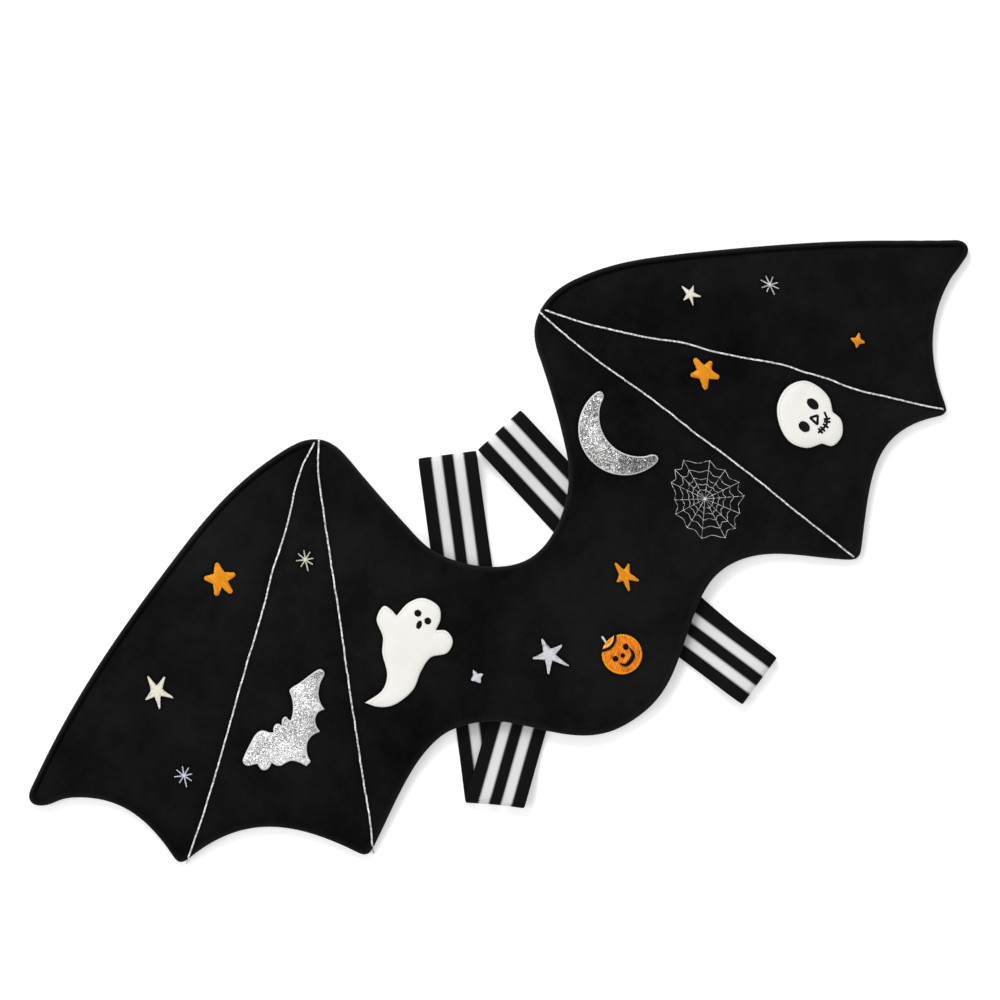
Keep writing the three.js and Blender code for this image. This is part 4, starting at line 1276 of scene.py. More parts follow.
    def spread(self, insets: "tuple[float, ...]", step: float, detailed: bool) -> np.ndarray:
        """Points inside the outline, closer together where the cloth turns.

        Args:
            insets: Distances of the rings inside the edge.
            step: Space between points in the open cloth.
            detailed: Whether rows follow the ribs and the patches.

        Returns:
            The points.
        """
        scatter = Scatter(2.0)
        scatter.add(self.outline, 0.0)
        for before, inset in zip((0.0, *insets), insets):
            scatter.add(shifted(self.outline, inset), 0.8 * (inset - before))
        candidates = []
        if detailed:
            for rib in self.ribs:
                path = rib.path(2.6)
                aside = left_of(headings(path))
                candidates += [(path + aside * off, 1.5) for off in (0, 1.7, -1.7, 4.2, -4.2, 7.5, -7.5)]
            for mark in self.marks:
                candidates += [(shifted(mark, inset), 1.1) for inset in (0.01, -1.3, -3.0, 1.3, 3.0)]
        candidates.append((triangular(self.outline, step), 0.66 * step))
        for points, gap in candidates:
            held = points[inside(points, self.outline)]
            clear = distances(held, self.outline, True)[0] > insets[-1] + 0.8
            scatter.add(held[clear], gap)
        return np.array(scatter.points[len(self.outline):])

    def build(self) -> bpy.types.Object:
        """Makes the body.

        Returns:
            The piece.
        """
        self.outline = smooth_ring(rim_of(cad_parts["front_panel"]), self.edge_step, 75.0)
        self.outline = self.filled_tips(self.outline)
        count = len(self.outline)
        front, front_faces = filled(self.outline, self.spread(self.rings, self.step, True))
        back, back_faces = filled(self.outline, self.spread(self.back_rings, self.back_step, False))
        front_z, back_z = self.front_height(front), self.back_height(back)
        seam = self.back_padding + self.lift(self.outline)
        front_z[:count] = seam
        points = np.concatenate([
            np.column_stack([front, front_z]), np.column_stack([back[count:], back_z[count:]]),
        ])
        shift = len(front) - count
        faces = list(front_faces)
        for face in back_faces:
            faces.append(tuple(i if i < count else i + shift for i in face)[::-1])
        piece = piece_from("wings_body", points, faces)
        self.brush(piece, points[:, :2], len(front))
        edge, _ = distances(points[:, :2], self.outline, True)
        beside = self.beside_ribs(points[:, :2])
        hold = np.maximum(np.exp(-((edge - self.channel) / 1.6) ** 2), np.exp(-((beside / 2.0) ** 2)))
        hold[edge < 2.0] = 1.0
        hold[len(front):] = 1.0
        self.puff(piece, hold)
        dressed(piece, VELOUR, "front_panel", "back_panel")
        return piece

    def brush(self, piece: bpy.types.Object, flat: np.ndarray, front: int) -> None:
        """Marks painted shade along the seams that press the pile down, the channel's and the ribs', and
        round the patches, and a painted sheen over the rolled edge.

        Args:
            piece: The body.
            flat: Its vertices seen from above, the front's first.
            front: How many of them are the front's.
        """
        edge, place = distances(flat, self.outline, True)
        beside = self.beside_ribs(flat, 3.0)
        # Painted shade along the channel, darkest in its groove, where the seam also presses the pile down.
        before = np.clip((edge - 1.2) / (self.channel - 1.2), 0, 1) ** 1.5
        after = np.exp(-((np.maximum(edge - self.channel, 0) / 0.8) ** 2))
        depth = self.channel_share(place) - 0.8 * self.faint
        pressed = depth * np.where(edge < self.channel, before, after)
        # Painted shade in the crease along each rib.
        pressed = np.maximum(pressed, 0.75 * np.exp(-((beside / 1.7) ** 2)))
        # Painted shadow in a thin line round each patch and star.
        for mark in self.marks:
            near = np.abs(flat - mark.mean(0)).max(1) < self.mark_reach
            gap, _ = distances(flat[near], mark, True)
            pressed[near] = np.maximum(pressed[near], 0.8 * np.exp(-((gap / 1.3) ** 2)))
        pressed[front:] = 0.0
        marked(piece, "pressed", pressed)
        # Painted sheen, lightest at the very edge where the cloth rolls over.
        marked(piece, "turned", np.clip(1 - edge / 4.2, 0, 1) ** 1.3)

    def puff(self, piece: bpy.types.Object, hold: np.ndarray, most: float = 1.3) -> None:
        """Lets the wadding press the velour out between its seams.

        Args:
            piece: The body.
            hold: How firmly each vertex is held, from 0 to 1.
            most: How far a point may move.
        """
        group = piece.vertex_groups.new(name="sewn")
        for i, share in enumerate(hold):
            if share > 0.02:
                group.add([i], float(share), "REPLACE")
        worker = piece.modifiers.new("wadding", "CLOTH")
        cloth = worker.settings
        cloth.quality = 4
        cloth.mass = 0.25
        cloth.tension_stiffness = cloth.compression_stiffness = 12.0
        cloth.shear_stiffness = 5.0
        cloth.bending_stiffness = 0.6
        cloth.use_pressure = True
        cloth.uniform_pressure_force = 4.0
        cloth.shrink_min = -0.012
        cloth.vertex_group_mass = "sewn"
        cloth.effector_weights.gravity = 0.0
        worker.collision_settings.use_collision = False
        worker.point_cache.frame_start, worker.point_cache.frame_end = 1, self.cloth_frames
        scene = bpy.context.scene
        for step in range(1, self.cloth_frames + 1):
            scene.frame_set(step)
        ready = piece.evaluated_get(bpy.context.evaluated_depsgraph_get())
        settled = np.empty(len(hold) * 3)
        ready.data.vertices.foreach_get("co", settled)
        rest = np.empty(len(hold) * 3)
        piece.data.vertices.foreach_get("co", rest)
        rest, settled = rest.reshape(-1, 3), settled.reshape(-1, 3)
        move = (settled - rest) * (1 - hold)[:, None]
        length = np.maximum(np.linalg.norm(move, axis=1), 1e-9)
        cap = most * MM
        move *= (cap * np.tanh(length / cap) / length)[:, None]
        log.info("wadding moved the velour by up to %.2f mm", np.linalg.norm(move, axis=1).max() / MM)
        piece.modifiers.remove(worker)
        piece.vertex_groups.clear()
        piece.data.vertices.foreach_set("co", (rest + move).ravel())
        piece.data.update()
        scene.frame_set(1)


@dataclass
class Figure:
    """The outline of a figure, with points as shares of its size from its middle.

    A third number of 1 marks a point where the outline turns sharply.
    """

    middle: "tuple[float, float]"
    size: float
    rows: "list[tuple[float, ...]]"

    def ring(self, step: float) -> np.ndarray:
        """The outline, counter-clockwise.

        Args:
            step: Space between its points.

        Returns:
            The points.
        """
        points = np.array([row[:2] for row in self.rows]) * self.size + np.array(self.middle)
        sharp = [i for i, row in enumerate(self.rows) if len(row) > 2]
        return anticlockwise(sharp_at(points, sharp, step))


GHOST = Figure((-96.92, -10.43), 80.0, [
    (0.34, 0.34), (0.42, 0.21), (0.38, 0.11), (0.3, 0.05, 1), (0.375, 0.0), (0.38, -0.1), (0.29, -0.165),
    (0.15, -0.13), (0.02, -0.19), (-0.12, -0.295), (-0.33, -0.325), (-0.45, -0.275), (-0.53, -0.19, 1),
    (-0.35, -0.17), (-0.25, -0.08), (-0.19, 0.11), (-0.12, 0.22), (-0.09, 0.38), (0.02, 0.445), (0.06, 0.38),
    (0.07, 0.32, 1), (0.21, 0.365),
])
SKULL = Figure((219.54, -5.37), 50.0, [
    (0.18, 0.44), (0.31, 0.27), (0.355, 0.07), (0.3, -0.12, 1), (0.345, -0.27), (0.25, -0.46), (0.07, -0.52),
    (-0.04, -0.42, 1), (-0.25, -0.37), (-0.41, -0.18), (-0.41, 0.11), (-0.29, 0.35), (-0.06, 0.48),
])


@dataclass
class Patch:
    """A figure cut from cloth and laid on the body."""

    node: str
    finish: Finish
    thickness: float
    figure: "Figure | None" = None
    corner: float = 80.0
    step: float = 1.2
    stitch_inset: float = 0.0
    seam_dip: float = 0.25

    def ring(self) -> np.ndarray:
        """The figure's outline."""
        if self.figure:
            return self.figure.ring(self.step)
        return smooth_ring(rim_of(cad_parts[self.node]), self.step, self.corner)

    def build(self, surface: Surface, yarn: Yarn) -> "list[bpy.types.Object]":
        """Makes the cloth, and the stitches round its edge where they show.

        Args:
            surface: The face that it lies on.
            yarn: The trees of thread.

        Returns:
            The pieces.
        """
        ring = self.ring()
        scatter = Scatter(1.5)
        scatter.add(ring, 0.0)
        for inset in (0.22, 0.6, 1.2, 1.9, 3.0):
            scatter.add(shifted(ring, inset), 0.45 * min(self.step, 0.8 + inset))
        open_cloth = triangular(ring, 3.2)
        open_cloth = open_cloth[inside(open_cloth, ring)]
        open_cloth = open_cloth[distances(open_cloth, ring, True)[0] > 3.4]
        scatter.add(open_cloth, 2.0)
        points, faces = filled(ring, np.array(scatter.points[len(ring):]))
        edge, _ = distances(points, ring, True)
        ground = np.array([surface.height(x, y) for x, y in points])
        rounded = np.sqrt(1 - (1 - np.clip(edge / 0.6, 0, 1)) ** 2)
        dip = self.seam_dip * np.exp(-(((edge - 1.7) / 0.7) ** 2))
        cloud = clouds(points, 11, 3.0) * 0.12
        top = ground + 0.1 + self.thickness * (0.35 + 0.65 * rounded) - dip + cloud * np.clip(edge / 4, 0, 1)
        count = len(points)
        low = np.column_stack([points, ground + 0.08])
        faces = list(faces) + [tuple(i + count for i in face[::-1]) for face in faces]
        size = len(ring)
        faces += [(i, i + count, (i + 1) % size + count, (i + 1) % size) for i in range(size)]
        piece = piece_from(self.node + "_patch" if "patch" not in self.node else self.node + "_cloth",
                           np.concatenate([np.column_stack([points, top]), low]), faces)
        rim = np.clip(1 - edge / 1.6, 0, 1)
        marked(piece, "edge", np.concatenate([rim, rim]))
        dressed(piece, self.finish, self.node)
        made = [piece]
        if self.stitch_inset > 0:
            made.append(self.stitches(ring, surface, yarn))
        span = points.max(0) - points.min(0)
        area = 0.5 * abs(doubled_area(ring))
        if area >= 0.31 * span[0] * span[1]:
            width, length = (span * MM).tolist()
            area * MM * MM
            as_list(made[1:])
        return made

    def stitches(self, ring: np.ndarray, surface: Surface, yarn: Yarn) -> bpy.types.Object:
        """Small stitches round the figure, just inside its edge."""
        line = shifted(ring, self.stitch_inset)
        line = surface.laid(looped(line), 0.06 + self.thickness)
        sizes = {"Pitch": 2.3, "Length": 1.5, "Radius": 0.16, "Slant": 0.0}
        name = self.node + "_edge_stitches"
        return dressed(yarn.along(yarn.stitches, name, [line], CREAM, sizes), CREAM)


class Filling(Enum):
    """How the thread of an embroidered figure runs."""

    RAYS = "in two facets on each ray"
    ROWS = "in rows over a star"
    BARS = "round a bar for each ray"
    SPOT = "in rows over a round or oval"


@dataclass
class Embroidery:
    """A figure of satin stitch over a low pad."""

    node: str
    finish: Finish
    filling: Filling
    heading: float = 100.0
    pitch: float = 0.5
    radius: float = 0.27
    height: float = 0.75
    base: float = 0.1
    point: float = 0.5
    longest: float = 40.0
    patchy: float = 0.16
    under: float = 0.6
    short: float = 0.7
    waist: float = 0.0
    cut: float = 1.0
    bands: int = 1
    inset: float = 0.0

    def ring(self) -> np.ndarray:
        """The figure's outline."""
        ring = rim_of(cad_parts[self.node])
        if self.filling is Filling.SPOT:
            ring = smooth_ring(ring, 0.6, 170.0)
            return shifted(ring, self.inset) if self.inset else ring
        return self.star(ring)

    def star(self, corners: np.ndarray) -> np.ndarray:
        """Straight rays that narrow to a rounded point.

        Args:
            corners: The star's corners, two at each ray's end and one between rays.

        Returns:
            The outline.
        """
        notches = np.flatnonzero(corner_products(corners)[0] < 0)
        middle = corners.mean(0)
        corners = corners.copy()
        corners[notches] = middle + (corners[notches] - middle) * self.cut
        ring = []
        for first, last in zip(notches, np.append(notches[1:], notches[0] + len(corners))):
            ends = corners[np.arange(first + 1, last) % len(corners)]
            tip = ends.mean(0)
            out = (tip - middle) / np.hypot(*(tip - middle))
            across = np.array([-out[1], out[0]])
            half = np.hypot(*(ends[-1] - ends[0])) / 2 * self.point
            turns = np.linspace(-math.pi / 2, math.pi / 2, 7)[:, None]
            cap = tip - out * half + half * (np.cos(turns) * out + np.sin(turns) * across)
            side = np.concatenate([corners[first][None, :], cap, corners[last % len(corners)][None, :]])
            place = evenly(side, 0.45)[:-1] - middle
            on, off = place @ out, place @ across
            share = np.clip((on - on[0]) / (on.max() - on[0]), 0, 1)
            off = off * (1 - self.waist * np.sin(math.pi * share))
            ring.append(middle + on[:, None] * out + off[:, None] * across)
        return np.concatenate(ring)

    def hatch(self, corners: np.ndarray, heading: float) -> "list[tuple[np.ndarray, np.ndarray, int]]":
        """Stitches over a figure.

        Args:
            corners: The figure's corners.
            heading: Direction of the thread in degrees.

        Returns:
            Each stitch's two ends and its row.
        """
        angle = math.radians(heading)
        along = np.array([math.cos(angle), math.sin(angle)])
        aside = np.array([-along[1], along[0]])
        off, on = corners @ aside, corners @ along
        found = []
        for row, level in enumerate(np.arange(off.min() + self.pitch / 2, off.max(), self.pitch)):
            crossings = []
            for i in range(len(corners)):
                k = (i + 1) % len(corners)
                if (off[i] > level) != (off[k] > level):
                    share = (level - off[i]) / (off[k] - off[i])
                    crossings.append(on[i] + share * (on[k] - on[i]))
            crossings.sort()
            for low, high in zip(crossings[::2], crossings[1::2]):
                low, high = low + self.radius * self.short, high - self.radius * self.short
                if high - low < 0.2:
                    continue
                cuts = np.arange(low - (row % 3) * self.longest / 3, high, self.longest)
                stops = [low, *cuts[cuts > low + 0.6], high]
                for a, b in zip(stops, stops[1:]):
                    found.append((along * a + aside * level, along * b + aside * level, row))
        return found

    def rays(self, ring: np.ndarray, middle: np.ndarray) -> "list[np.ndarray]":
        """The part of a star that belongs to each ray, from its middle outwards."""
        plain = rim_of(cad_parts[self.node])
        inward = plain[corner_products(plain)[0] < 0]
        inward = plain.mean(0) + (inward - plain.mean(0)) * self.cut
        notches = np.array(sorted(np.hypot(*(ring - spot).T).argmin() for spot in inward))
        sectors = []
        for first, last in zip(notches, np.append(notches[1:], notches[0] + len(ring))):
            sectors.append(np.concatenate([[middle], ring[np.arange(first, last + 1) % len(ring)]]))
        return sectors

    def lines(self, ring: np.ndarray) -> "list[tuple[np.ndarray, np.ndarray, int]]":
        """Every stitch's two ends and its row."""
        middle = ring.mean(0)
        if self.filling in (Filling.ROWS, Filling.SPOT):
            return self.hatch(ring, self.heading)
        found = []
        for sector in self.rays(ring, middle):
            tip = int(np.hypot(*(sector - middle).T).argmax())
            out = sector[tip] - middle
            heading = math.degrees(math.atan2(out[1], out[0]))
            if self.filling is Filling.RAYS:
                found += self.hatch(sector[:tip + 1], heading + 64)
                found += self.hatch(np.concatenate([sector[:1], sector[tip:]]), heading - 64)
                continue
            length = np.hypot(*out)
            out = out / length
            across = np.array([-out[1], out[0]])
            half = np.array([(0.0, 0.5), (0.6, 0.48), (0.93, 0.42), (1.0, 0.25)])
            side = middle + out * length * half[:, :1] - across * half[:, 1:]
            other = middle + out * length * half[::-1, :1] + across * half[::-1, 1:]
            found += self.hatch(np.concatenate([side, other]), heading + 80)
        return found

    def build(self, surface: Surface, yarn: Yarn, level: float = 0.0) -> bpy.types.Object:
        """Makes the embroidery.

        Args:
            surface: The face that it lies on.
            yarn: The trees of thread.
            level: Height of what lies between it and the face.

        Returns:
            The piece.
        """
        ring = self.ring()
        rng = np.random.default_rng(sum(map(ord, self.node)))
        lines, tones = [], []
        for start, end, row in self.lines(ring):
            length = np.linalg.norm(end - start)
            rise = self.height * min(1.0, 0.45 + length / 7)
            share = np.array([0.0, 0.12, 0.35, 0.65, 0.88, 1.0])
            arch = np.array([0.0, 0.55, 0.97, 0.97, 0.55, 0.0])
            flat = start + (end - start) * share[:, None] + rng.normal(0, 0.035, 2)
            ground = surface.laid(flat, 0.0)
            ground[:, 2] += level + self.base + arch * rise
            lines.append(ground)
            cloud = noise.noise(Vector((*flat[2] / 3.6, 5.0))) * self.patchy * 3.0
            # Every bands-th row of thread is darker: painted shade lines between the rows of satin.
            painted_row_shade = 0.9 if self.bands > 1 and row % self.bands == 0 else 0.0
            tones.append(float(np.clip(rng.normal(0.68, self.patchy) + cloud - painted_row_shade, 0.05, 1.0)))
        sizes = {"Radius": self.radius}
        thread = yarn.along(yarn.thread, self.node + "_thread", lines, self.finish, sizes, tones)
        pad = self.pad(ring, surface, level)
        whole = joined(self.node + "_stitching", [thread, pad])
        return dressed(whole, self.finish, self.node)

    def pad(self, ring: np.ndarray, surface: Surface, level: float) -> bpy.types.Object:
        """The closed pad under the thread."""
        middle = ring.mean(0)
        if self.filling is Filling.BARS:
            ring = middle + (ring - middle) * 0.4
        size = len(ring)
        shares = [(0.94, 0.0), (0.92, 0.35), (0.78, 0.7), (0.45, 0.85)]
        points, faces = [], []
        for share, rise in shares:
            flat = middle + (ring - middle) * share
            points.append(surface.laid(flat, level + self.base - 0.05 + rise * self.height))
        points.append(surface.laid(middle[None, :], level + self.base - 0.05 + 0.9 * self.height))
        points.append(surface.laid(middle[None, :], level + self.base - 0.06))
        for k in range(len(shares) - 1):
            faces += band(k, size)
        last, top = (len(shares) - 1) * size, len(shares) * size
        for i in range(size):
            j = (i + 1) % size
            faces.append((last + i, last + j, top))
            faces.append((j, i, top + 1))
        piece = piece_from(self.node + "_pad", np.concatenate(points), faces)
        # The pad takes the tone under, below the stitches' usual tone: painted shade where it shows between
        # them.
        marked(piece, "tone", np.full(top + 2, self.under))
        piece.data.materials.append(self.finish.material())
        return piece


@dataclass
class Cobweb:
    """A web sewn in thin silver thread, with rings that sag between its spokes."""

    middle: "tuple[float, float]"
    spokes: "list[tuple[float, float]]"
    rings: "tuple[float, ...]" = (0.24, 0.39, 0.54, 0.75, 1.0)
    sag: float = 0.10
    radius: float = 0.14

    def build(self, surface: Surface, yarn: Yarn) -> "list[bpy.types.Object]":
        """Makes the web.

        Args:
            surface: The face that it lies on.
            yarn: The trees of thread.

        Returns:
            The pieces.
        """
        middle = np.array(self.middle)
        tips = sorted((math.radians(degrees), length) for degrees, length in self.spokes)
        lines = []
        for angle, length in tips:
            out = np.array([math.cos(angle), math.sin(angle)])
            lines.append(middle + out * np.linspace(1.0, length, 12)[:, None])
        for ring in self.rings:
            for (a, first), (b, last) in zip(tips, tips[1:] + tips[:1]):
                b += 2 * math.pi if b < a else 0
                share = np.linspace(0, 1, 7)
                angle = a + (b - a) * share
                chord = (first + (last - first) * share) * ring
                reach = chord * (1 - self.sag * 4 * share * (1 - share)) * np.cos((b - a) / 2 * 0.6)
                reach = reach + (chord - reach) * (2 * share - 1) ** 2
                lines.append(middle + np.stack([np.cos(angle), np.sin(angle)], axis=1) * reach[:, None])
        drawn = [surface.laid(evenly(line, 0.9), self.radius + 0.05) for line in lines]
        rng = np.random.default_rng(11)
        stitches = [line[i:i + 3] for line in drawn for i in range(0, len(line) - 1, 2)]
        tones = np.clip(rng.normal(0.56, 0.36, len(stitches)), 0, 1).tolist()
        web = yarn.along(yarn.thread, "cobweb_thread", stitches, WEB, {"Radius": self.radius}, tones)
        knots = [np.array(line[[0, -1]]) for line in drawn[:len(tips)]]
        bars = [([[-1.3, 0.0], [1.3, 0.0]], 0.4), ([[0.0, -1.3], [0.0, 1.3]], 0.45)]
        dots = [surface.laid(middle + np.array(bar), rise) for bar, rise in bars]
        for line in knots:
            dots.append(np.array([line[1] + (0.0, 0.0, 0.1), line[1] + (0.4, 0.2, 0.1)]))
        hub = yarn.along(yarn.thread, "cobweb_knots", dots, WEB, {"Radius": 0.36}, [1.0] * len(dots))
        return [dressed(web, WEB), dressed(hub, WEB)]


@dataclass
class SatinLine:
    """Lines of short stitches sewn across their length, such as a mouth."""

    name: str
    finish: Finish
    lines: "list[list[tuple[float, float]]]"
    width: float
    level: float
    nodes: "tuple[str, ...]" = ()
    taper: bool = False
    smooth: bool = True
    pitch: float = 0.3
    radius: float = 0.2
    tone: float = 0.66

    def build(self, surface: Surface, yarn: Yarn) -> bpy.types.Object:
        """Makes the lines.

        Args:
            surface: The face under the patch.
            yarn: The trees of thread.

        Returns:
            The piece.
        """
        rng = np.random.default_rng(sum(map(ord, self.name)))
        stitches = []
        for line in self.lines:
            corners = np.array(line, float)
            path = evenly(curve_through(corners, False) if self.smooth else corners, self.pitch)
            aside = left_of(headings(path))
            swell = np.ones(len(path))
            if self.taper:
                swell = np.sin(np.linspace(0.12, math.pi - 0.12, len(path))) ** 0.8
            half = np.maximum(self.width / 2 * swell - self.radius * 0.6, 0.08)
            half = half + rng.normal(0, 0.03, len(path))
            for spot, out, reach in zip(path, aside, half):
                across = spot + out * reach * np.array([-1, -0.55, 0, 0.55, 1])[:, None]
                rise = np.array([0.05, 0.22, 0.3, 0.22, 0.05]) * min(1.0, 0.5 + reach)
                stitches.append(surface.laid(across, self.level + rise))
        tones = np.clip(rng.normal(self.tone, 0.18, len(stitches)), 0, 1).tolist()
        sizes = {"Radius": self.radius}
        piece = yarn.along(yarn.thread, self.name, stitches, self.finish, sizes, tones)
        return dressed(piece, self.finish, *self.nodes)


VIEW_MIDDLE = (8.6, 48.64)
VIEW_TURN = 29.7
VIEW_WIDTH = 680.0
VIEW_STEP = VIEW_WIDTH / 1000


@dataclass
class Studio:
    """Pale floor, soft light and a camera straight above."""

    view: "tuple[float, float]" = VIEW_MIDDLE
    roll: float = -VIEW_TURN
    lens: float = 100.0
    sensor: float = 36.0
    seen: float = VIEW_WIDTH
    level: float = 8.0

    def build(self) -> None:
        """Makes the floor, the lamps and the camera."""
        corners = [(-3e3, -3e3, -0.3), (3e3, -3e3, -0.3), (3e3, 3e3, -0.3), (-3e3, 3e3, -0.3)]
        floor = piece_from("floor", np.array(corners), [(0, 1, 2, 3)])
        paper = Paper("pale_paper", "", (0.92, 0.92, 0.92))
        floor.data.materials.append(paper.material())
        world = bpy.data.worlds.new("room")
        world.use_nodes = True
        world.node_tree.nodes["Background"].inputs[0].default_value = (1.0, 1.0, 1.0, 1.0)
        world.node_tree.nodes["Background"].inputs[1].default_value = 0.50
        bpy.context.scene.world = world
        bpy.context.scene.view_settings.view_transform = "Standard"
        self.lamp("key", (0.25, 2.0, 1.7), 42.0, 1.0)
        self.lamp("fill", (-1.7, 0.6, 1.9), 20.0, 1.5)
        self.lamp("low", (0.4, -2.0, 1.4), 7.0, 1.4)
        data = bpy.data.cameras.new("camera")
        data.lens, data.sensor_width = self.lens, self.sensor
        data.clip_end = 20.0
        camera = placed("camera", data)
        distance = self.seen * self.lens / self.sensor
        camera.location = (self.view[0] * MM, self.view[1] * MM, (distance + self.level) * MM)
        camera.rotation_euler = (0.0, 0.0, math.radians(self.roll))
        bpy.context.scene.camera = camera

    @staticmethod
    def lamp(name: str, place: "tuple[float, float, float]", power: float, size: float) -> None:
        """A square soft lamp that faces the wings."""
        data = bpy.data.lights.new(name, "AREA")
        data.energy, data.size = power, size
        lamp = placed(name, data)
        lamp.location = place
        lamp.rotation_euler = (-Vector(place)).to_track_quat("-Z", "Y").to_euler()


def seen_at(x: float, y: float) -> "tuple[float, float]":
    """A place on the wings, from where it shows in the view.

    Args:
        x: Its distance from the view's left side, in thousandths of the view's width.
        y: Its distance from the view's top, in the same measure.

    Returns:
        The place, in millimetres.
    """
    right, down = (x - 500) * VIEW_STEP, (y - 500) * VIEW_STEP
    turn = math.radians(VIEW_TURN)
    across = right * math.cos(turn) - down * math.sin(turn)
    up = -right * math.sin(turn) - down * math.cos(turn)
    return (VIEW_MIDDLE[0] + across, VIEW_MIDDLE[1] + up)


@dataclass(frozen=True)
class Closeup:
    """An enlarged part of the view, measured from its own left top corner."""

    left: float
    top: float
    scale: float

    def at(self, x: float, y: float) -> "tuple[float, float]":
        """A place on the wings."""
        return seen_at(self.left + x / self.scale, self.top + y / self.scale)

    def line(self, *spots: "tuple[float, float]") -> "list[tuple[float, float]]":
        """Places on the wings."""
        return [self.at(x, y) for x, y in spots]


BAT_VIEW = Closeup(238, 664, 5.652)
WEB_VIEW = Closeup(665, 455, 17.43)
SKULL_VIEW = Closeup(765, 370, 18.45)
PUMPKIN_VIEW = Closeup(590, 625, 24.12)
WEB_MIDDLE = (704.6, 498.9)


def main() -> None:
    """Builds the wings, piece by piece."""
    logging.basicConfig(level=logging.INFO, format="%(name)s %(message)s")
    Studio().build()
    yarn = Yarn()
    loops = [
        ArmLoop("strap_left", (-44.979, 0.534), (-7.508, 92.702), (-96.919, -129.288), (-36.446, -70.559),
                waist_turn=23.0),
        ArmLoop("strap_right", (53.892, -3.259), (31.818, 89.752), (100.824, -145.586), (66.506, -66.344),
                waist_turn=1.0),
    ]
    ribs = [
        Rib("rib_left_outer", (-80.52, 144.38), (-301.22, -56.17), -1, 0.003, 0.006, [
            (0, 1.3), (0.06, 3.3), (0.11, 2.7), (0.17, 0.2), (0.26, -1.3), (0.30, -0.8), (0.38, -2.3),
            (0.6, -2.1), (0.75, -3.0), (0.92, -4.4), (1, -4.2),
        ]),
        Rib("rib_left_inner", (-77.46, 142.01), (-188.91, -113.90), -1, 0.009, 0.006, [
            (0, 2.4), (0.06, 3.5), (0.12, 2.4), (0.2, 0.6), (0.28, -0.8), (0.42, -2.2), (0.6, -2.0),
            (0.8, -2.8), (0.93, -4.6), (1, -4.5),
        ]),
        Rib("rib_right_outer", (99.30, 146.14), (300.20, -48.30), 1, 0.001, -0.013, [
            (0, -0.2), (0.1, -0.2), (0.17, 1.0), (0.27, 2.5), (0.35, 4.2), (0.41, 2.5), (0.48, 1.6),
            (0.6, 1.3), (0.65, -0.6), (0.7, -1.4), (0.78, -4.0), (0.86, -2.7), (0.95, -0.6), (1, 1.6),
        ]),
        Rib("rib_right_inner", (94.53, 142.88), (199.95, -103.88), 1, -0.002, 0.0, [
            (0, 1.9), (0.06, 0.7), (0.17, 0), (0.37, 1.6), (0.47, 1.1), (0.6, 1.3), (0.7, 1.0), (0.8, -0.1),
            (0.9, -0.8), (1, -1.6),
        ]),
    ]
    patches = [
        Patch("ghost", FELT, 1.0, GHOST, stitch_inset=1.5),
        Patch("skull", FELT, 1.0, SKULL, stitch_inset=1.5),
        Patch("bat_patch", PALE_GLITTER, 0.8, bat_figure(), seam_dip=0.1),
        Patch("moon", GLITTER, 0.8, seam_dip=0.1),
    ]
    stars = [
        *(Embroidery("star_orange_" + name, ORANGE, Filling.ROWS, 100.0, 0.38, 0.24, point=0.8, patchy=0.07,
                     cut=0.88, bands=3) for name in ("left", "right", "tail", "small")),
        *(Embroidery("star_cream_" + name, CREAM, Filling.RAYS, waist=0.1, cut=0.78)
          for name in ("left", "right")),
        Embroidery("star_silver", SILVER, Filling.RAYS, waist=0.1, cut=0.76),
        Embroidery("star_silver_small", SILVER, Filling.RAYS),
        Embroidery("asterisk_cream", CREAM, Filling.BARS, radius=0.22),
        Embroidery("asterisk_blue", BLUE, Filling.BARS, radius=0.22),
        Embroidery("asterisk_silver", SILVER, Filling.BARS, radius=0.22),
        Embroidery("pumpkin", PUMPKIN, Filling.SPOT, 70.0, 0.62, 0.34, longest=3.3, patchy=0.2, under=0.3),
    ]
    faces = [
        (Embroidery(node, BLACK, Filling.SPOT, heading, 0.42, 0.29, 0.35, 0.05, short=0.0, inset=inset),
         level)
        for node, heading, level, inset in (
            ("ghost_eye_left", 30.0, 1.1, 0.45), ("ghost_eye_right", 30.0, 1.1, 0.45),
            ("ghost_mouth", 130.0, 1.1, 0.3), ("skull_eye_left", 20.0, 1.1, 0.45),
            ("skull_eye_right", 20.0, 1.1, 0.5), ("pumpkin_eye_left", 40.0, 1.0, -0.2),
            ("pumpkin_eye_right", 40.0, 1.0, -0.2), ("pumpkin_nose", 40.0, 1.0, 0.0),
        )
    ]
    marks = [patch.ring() for patch in patches] + [star.ring() for star in stars[:12]]
    full_tips = [
        (np.array(seen_at(x, y)), radius)
        for x, y, radius in (
            (38.5, 796.5, 7.8), (48.0, 794.0, 7.6), (58.0, 789.0, 8.0),
            (912.0, 266.0, 18.0), (930.0, 262.0, 15.4), (945.0, 257.5, 12.4), (958.5, 250.0, 7.9),
        )
    ]
    body = PaddedBody(loops, ribs, marks, full_tips)
    surface = Surface(body.build())
    for loop in loops:
        loop.build()
    for piece in [*ribs, *patches, *stars]:
        piece.build(surface, yarn)
    for figure, level in faces:
        figure.build(surface, yarn, level)
    Cobweb(seen_at(*WEB_MIDDLE), web_spokes()).build(surface, yarn)
    for drawing in drawings(stars[-1].ring()):
        drawing.build(surface, yarn)
    seams(body, surface, yarn)


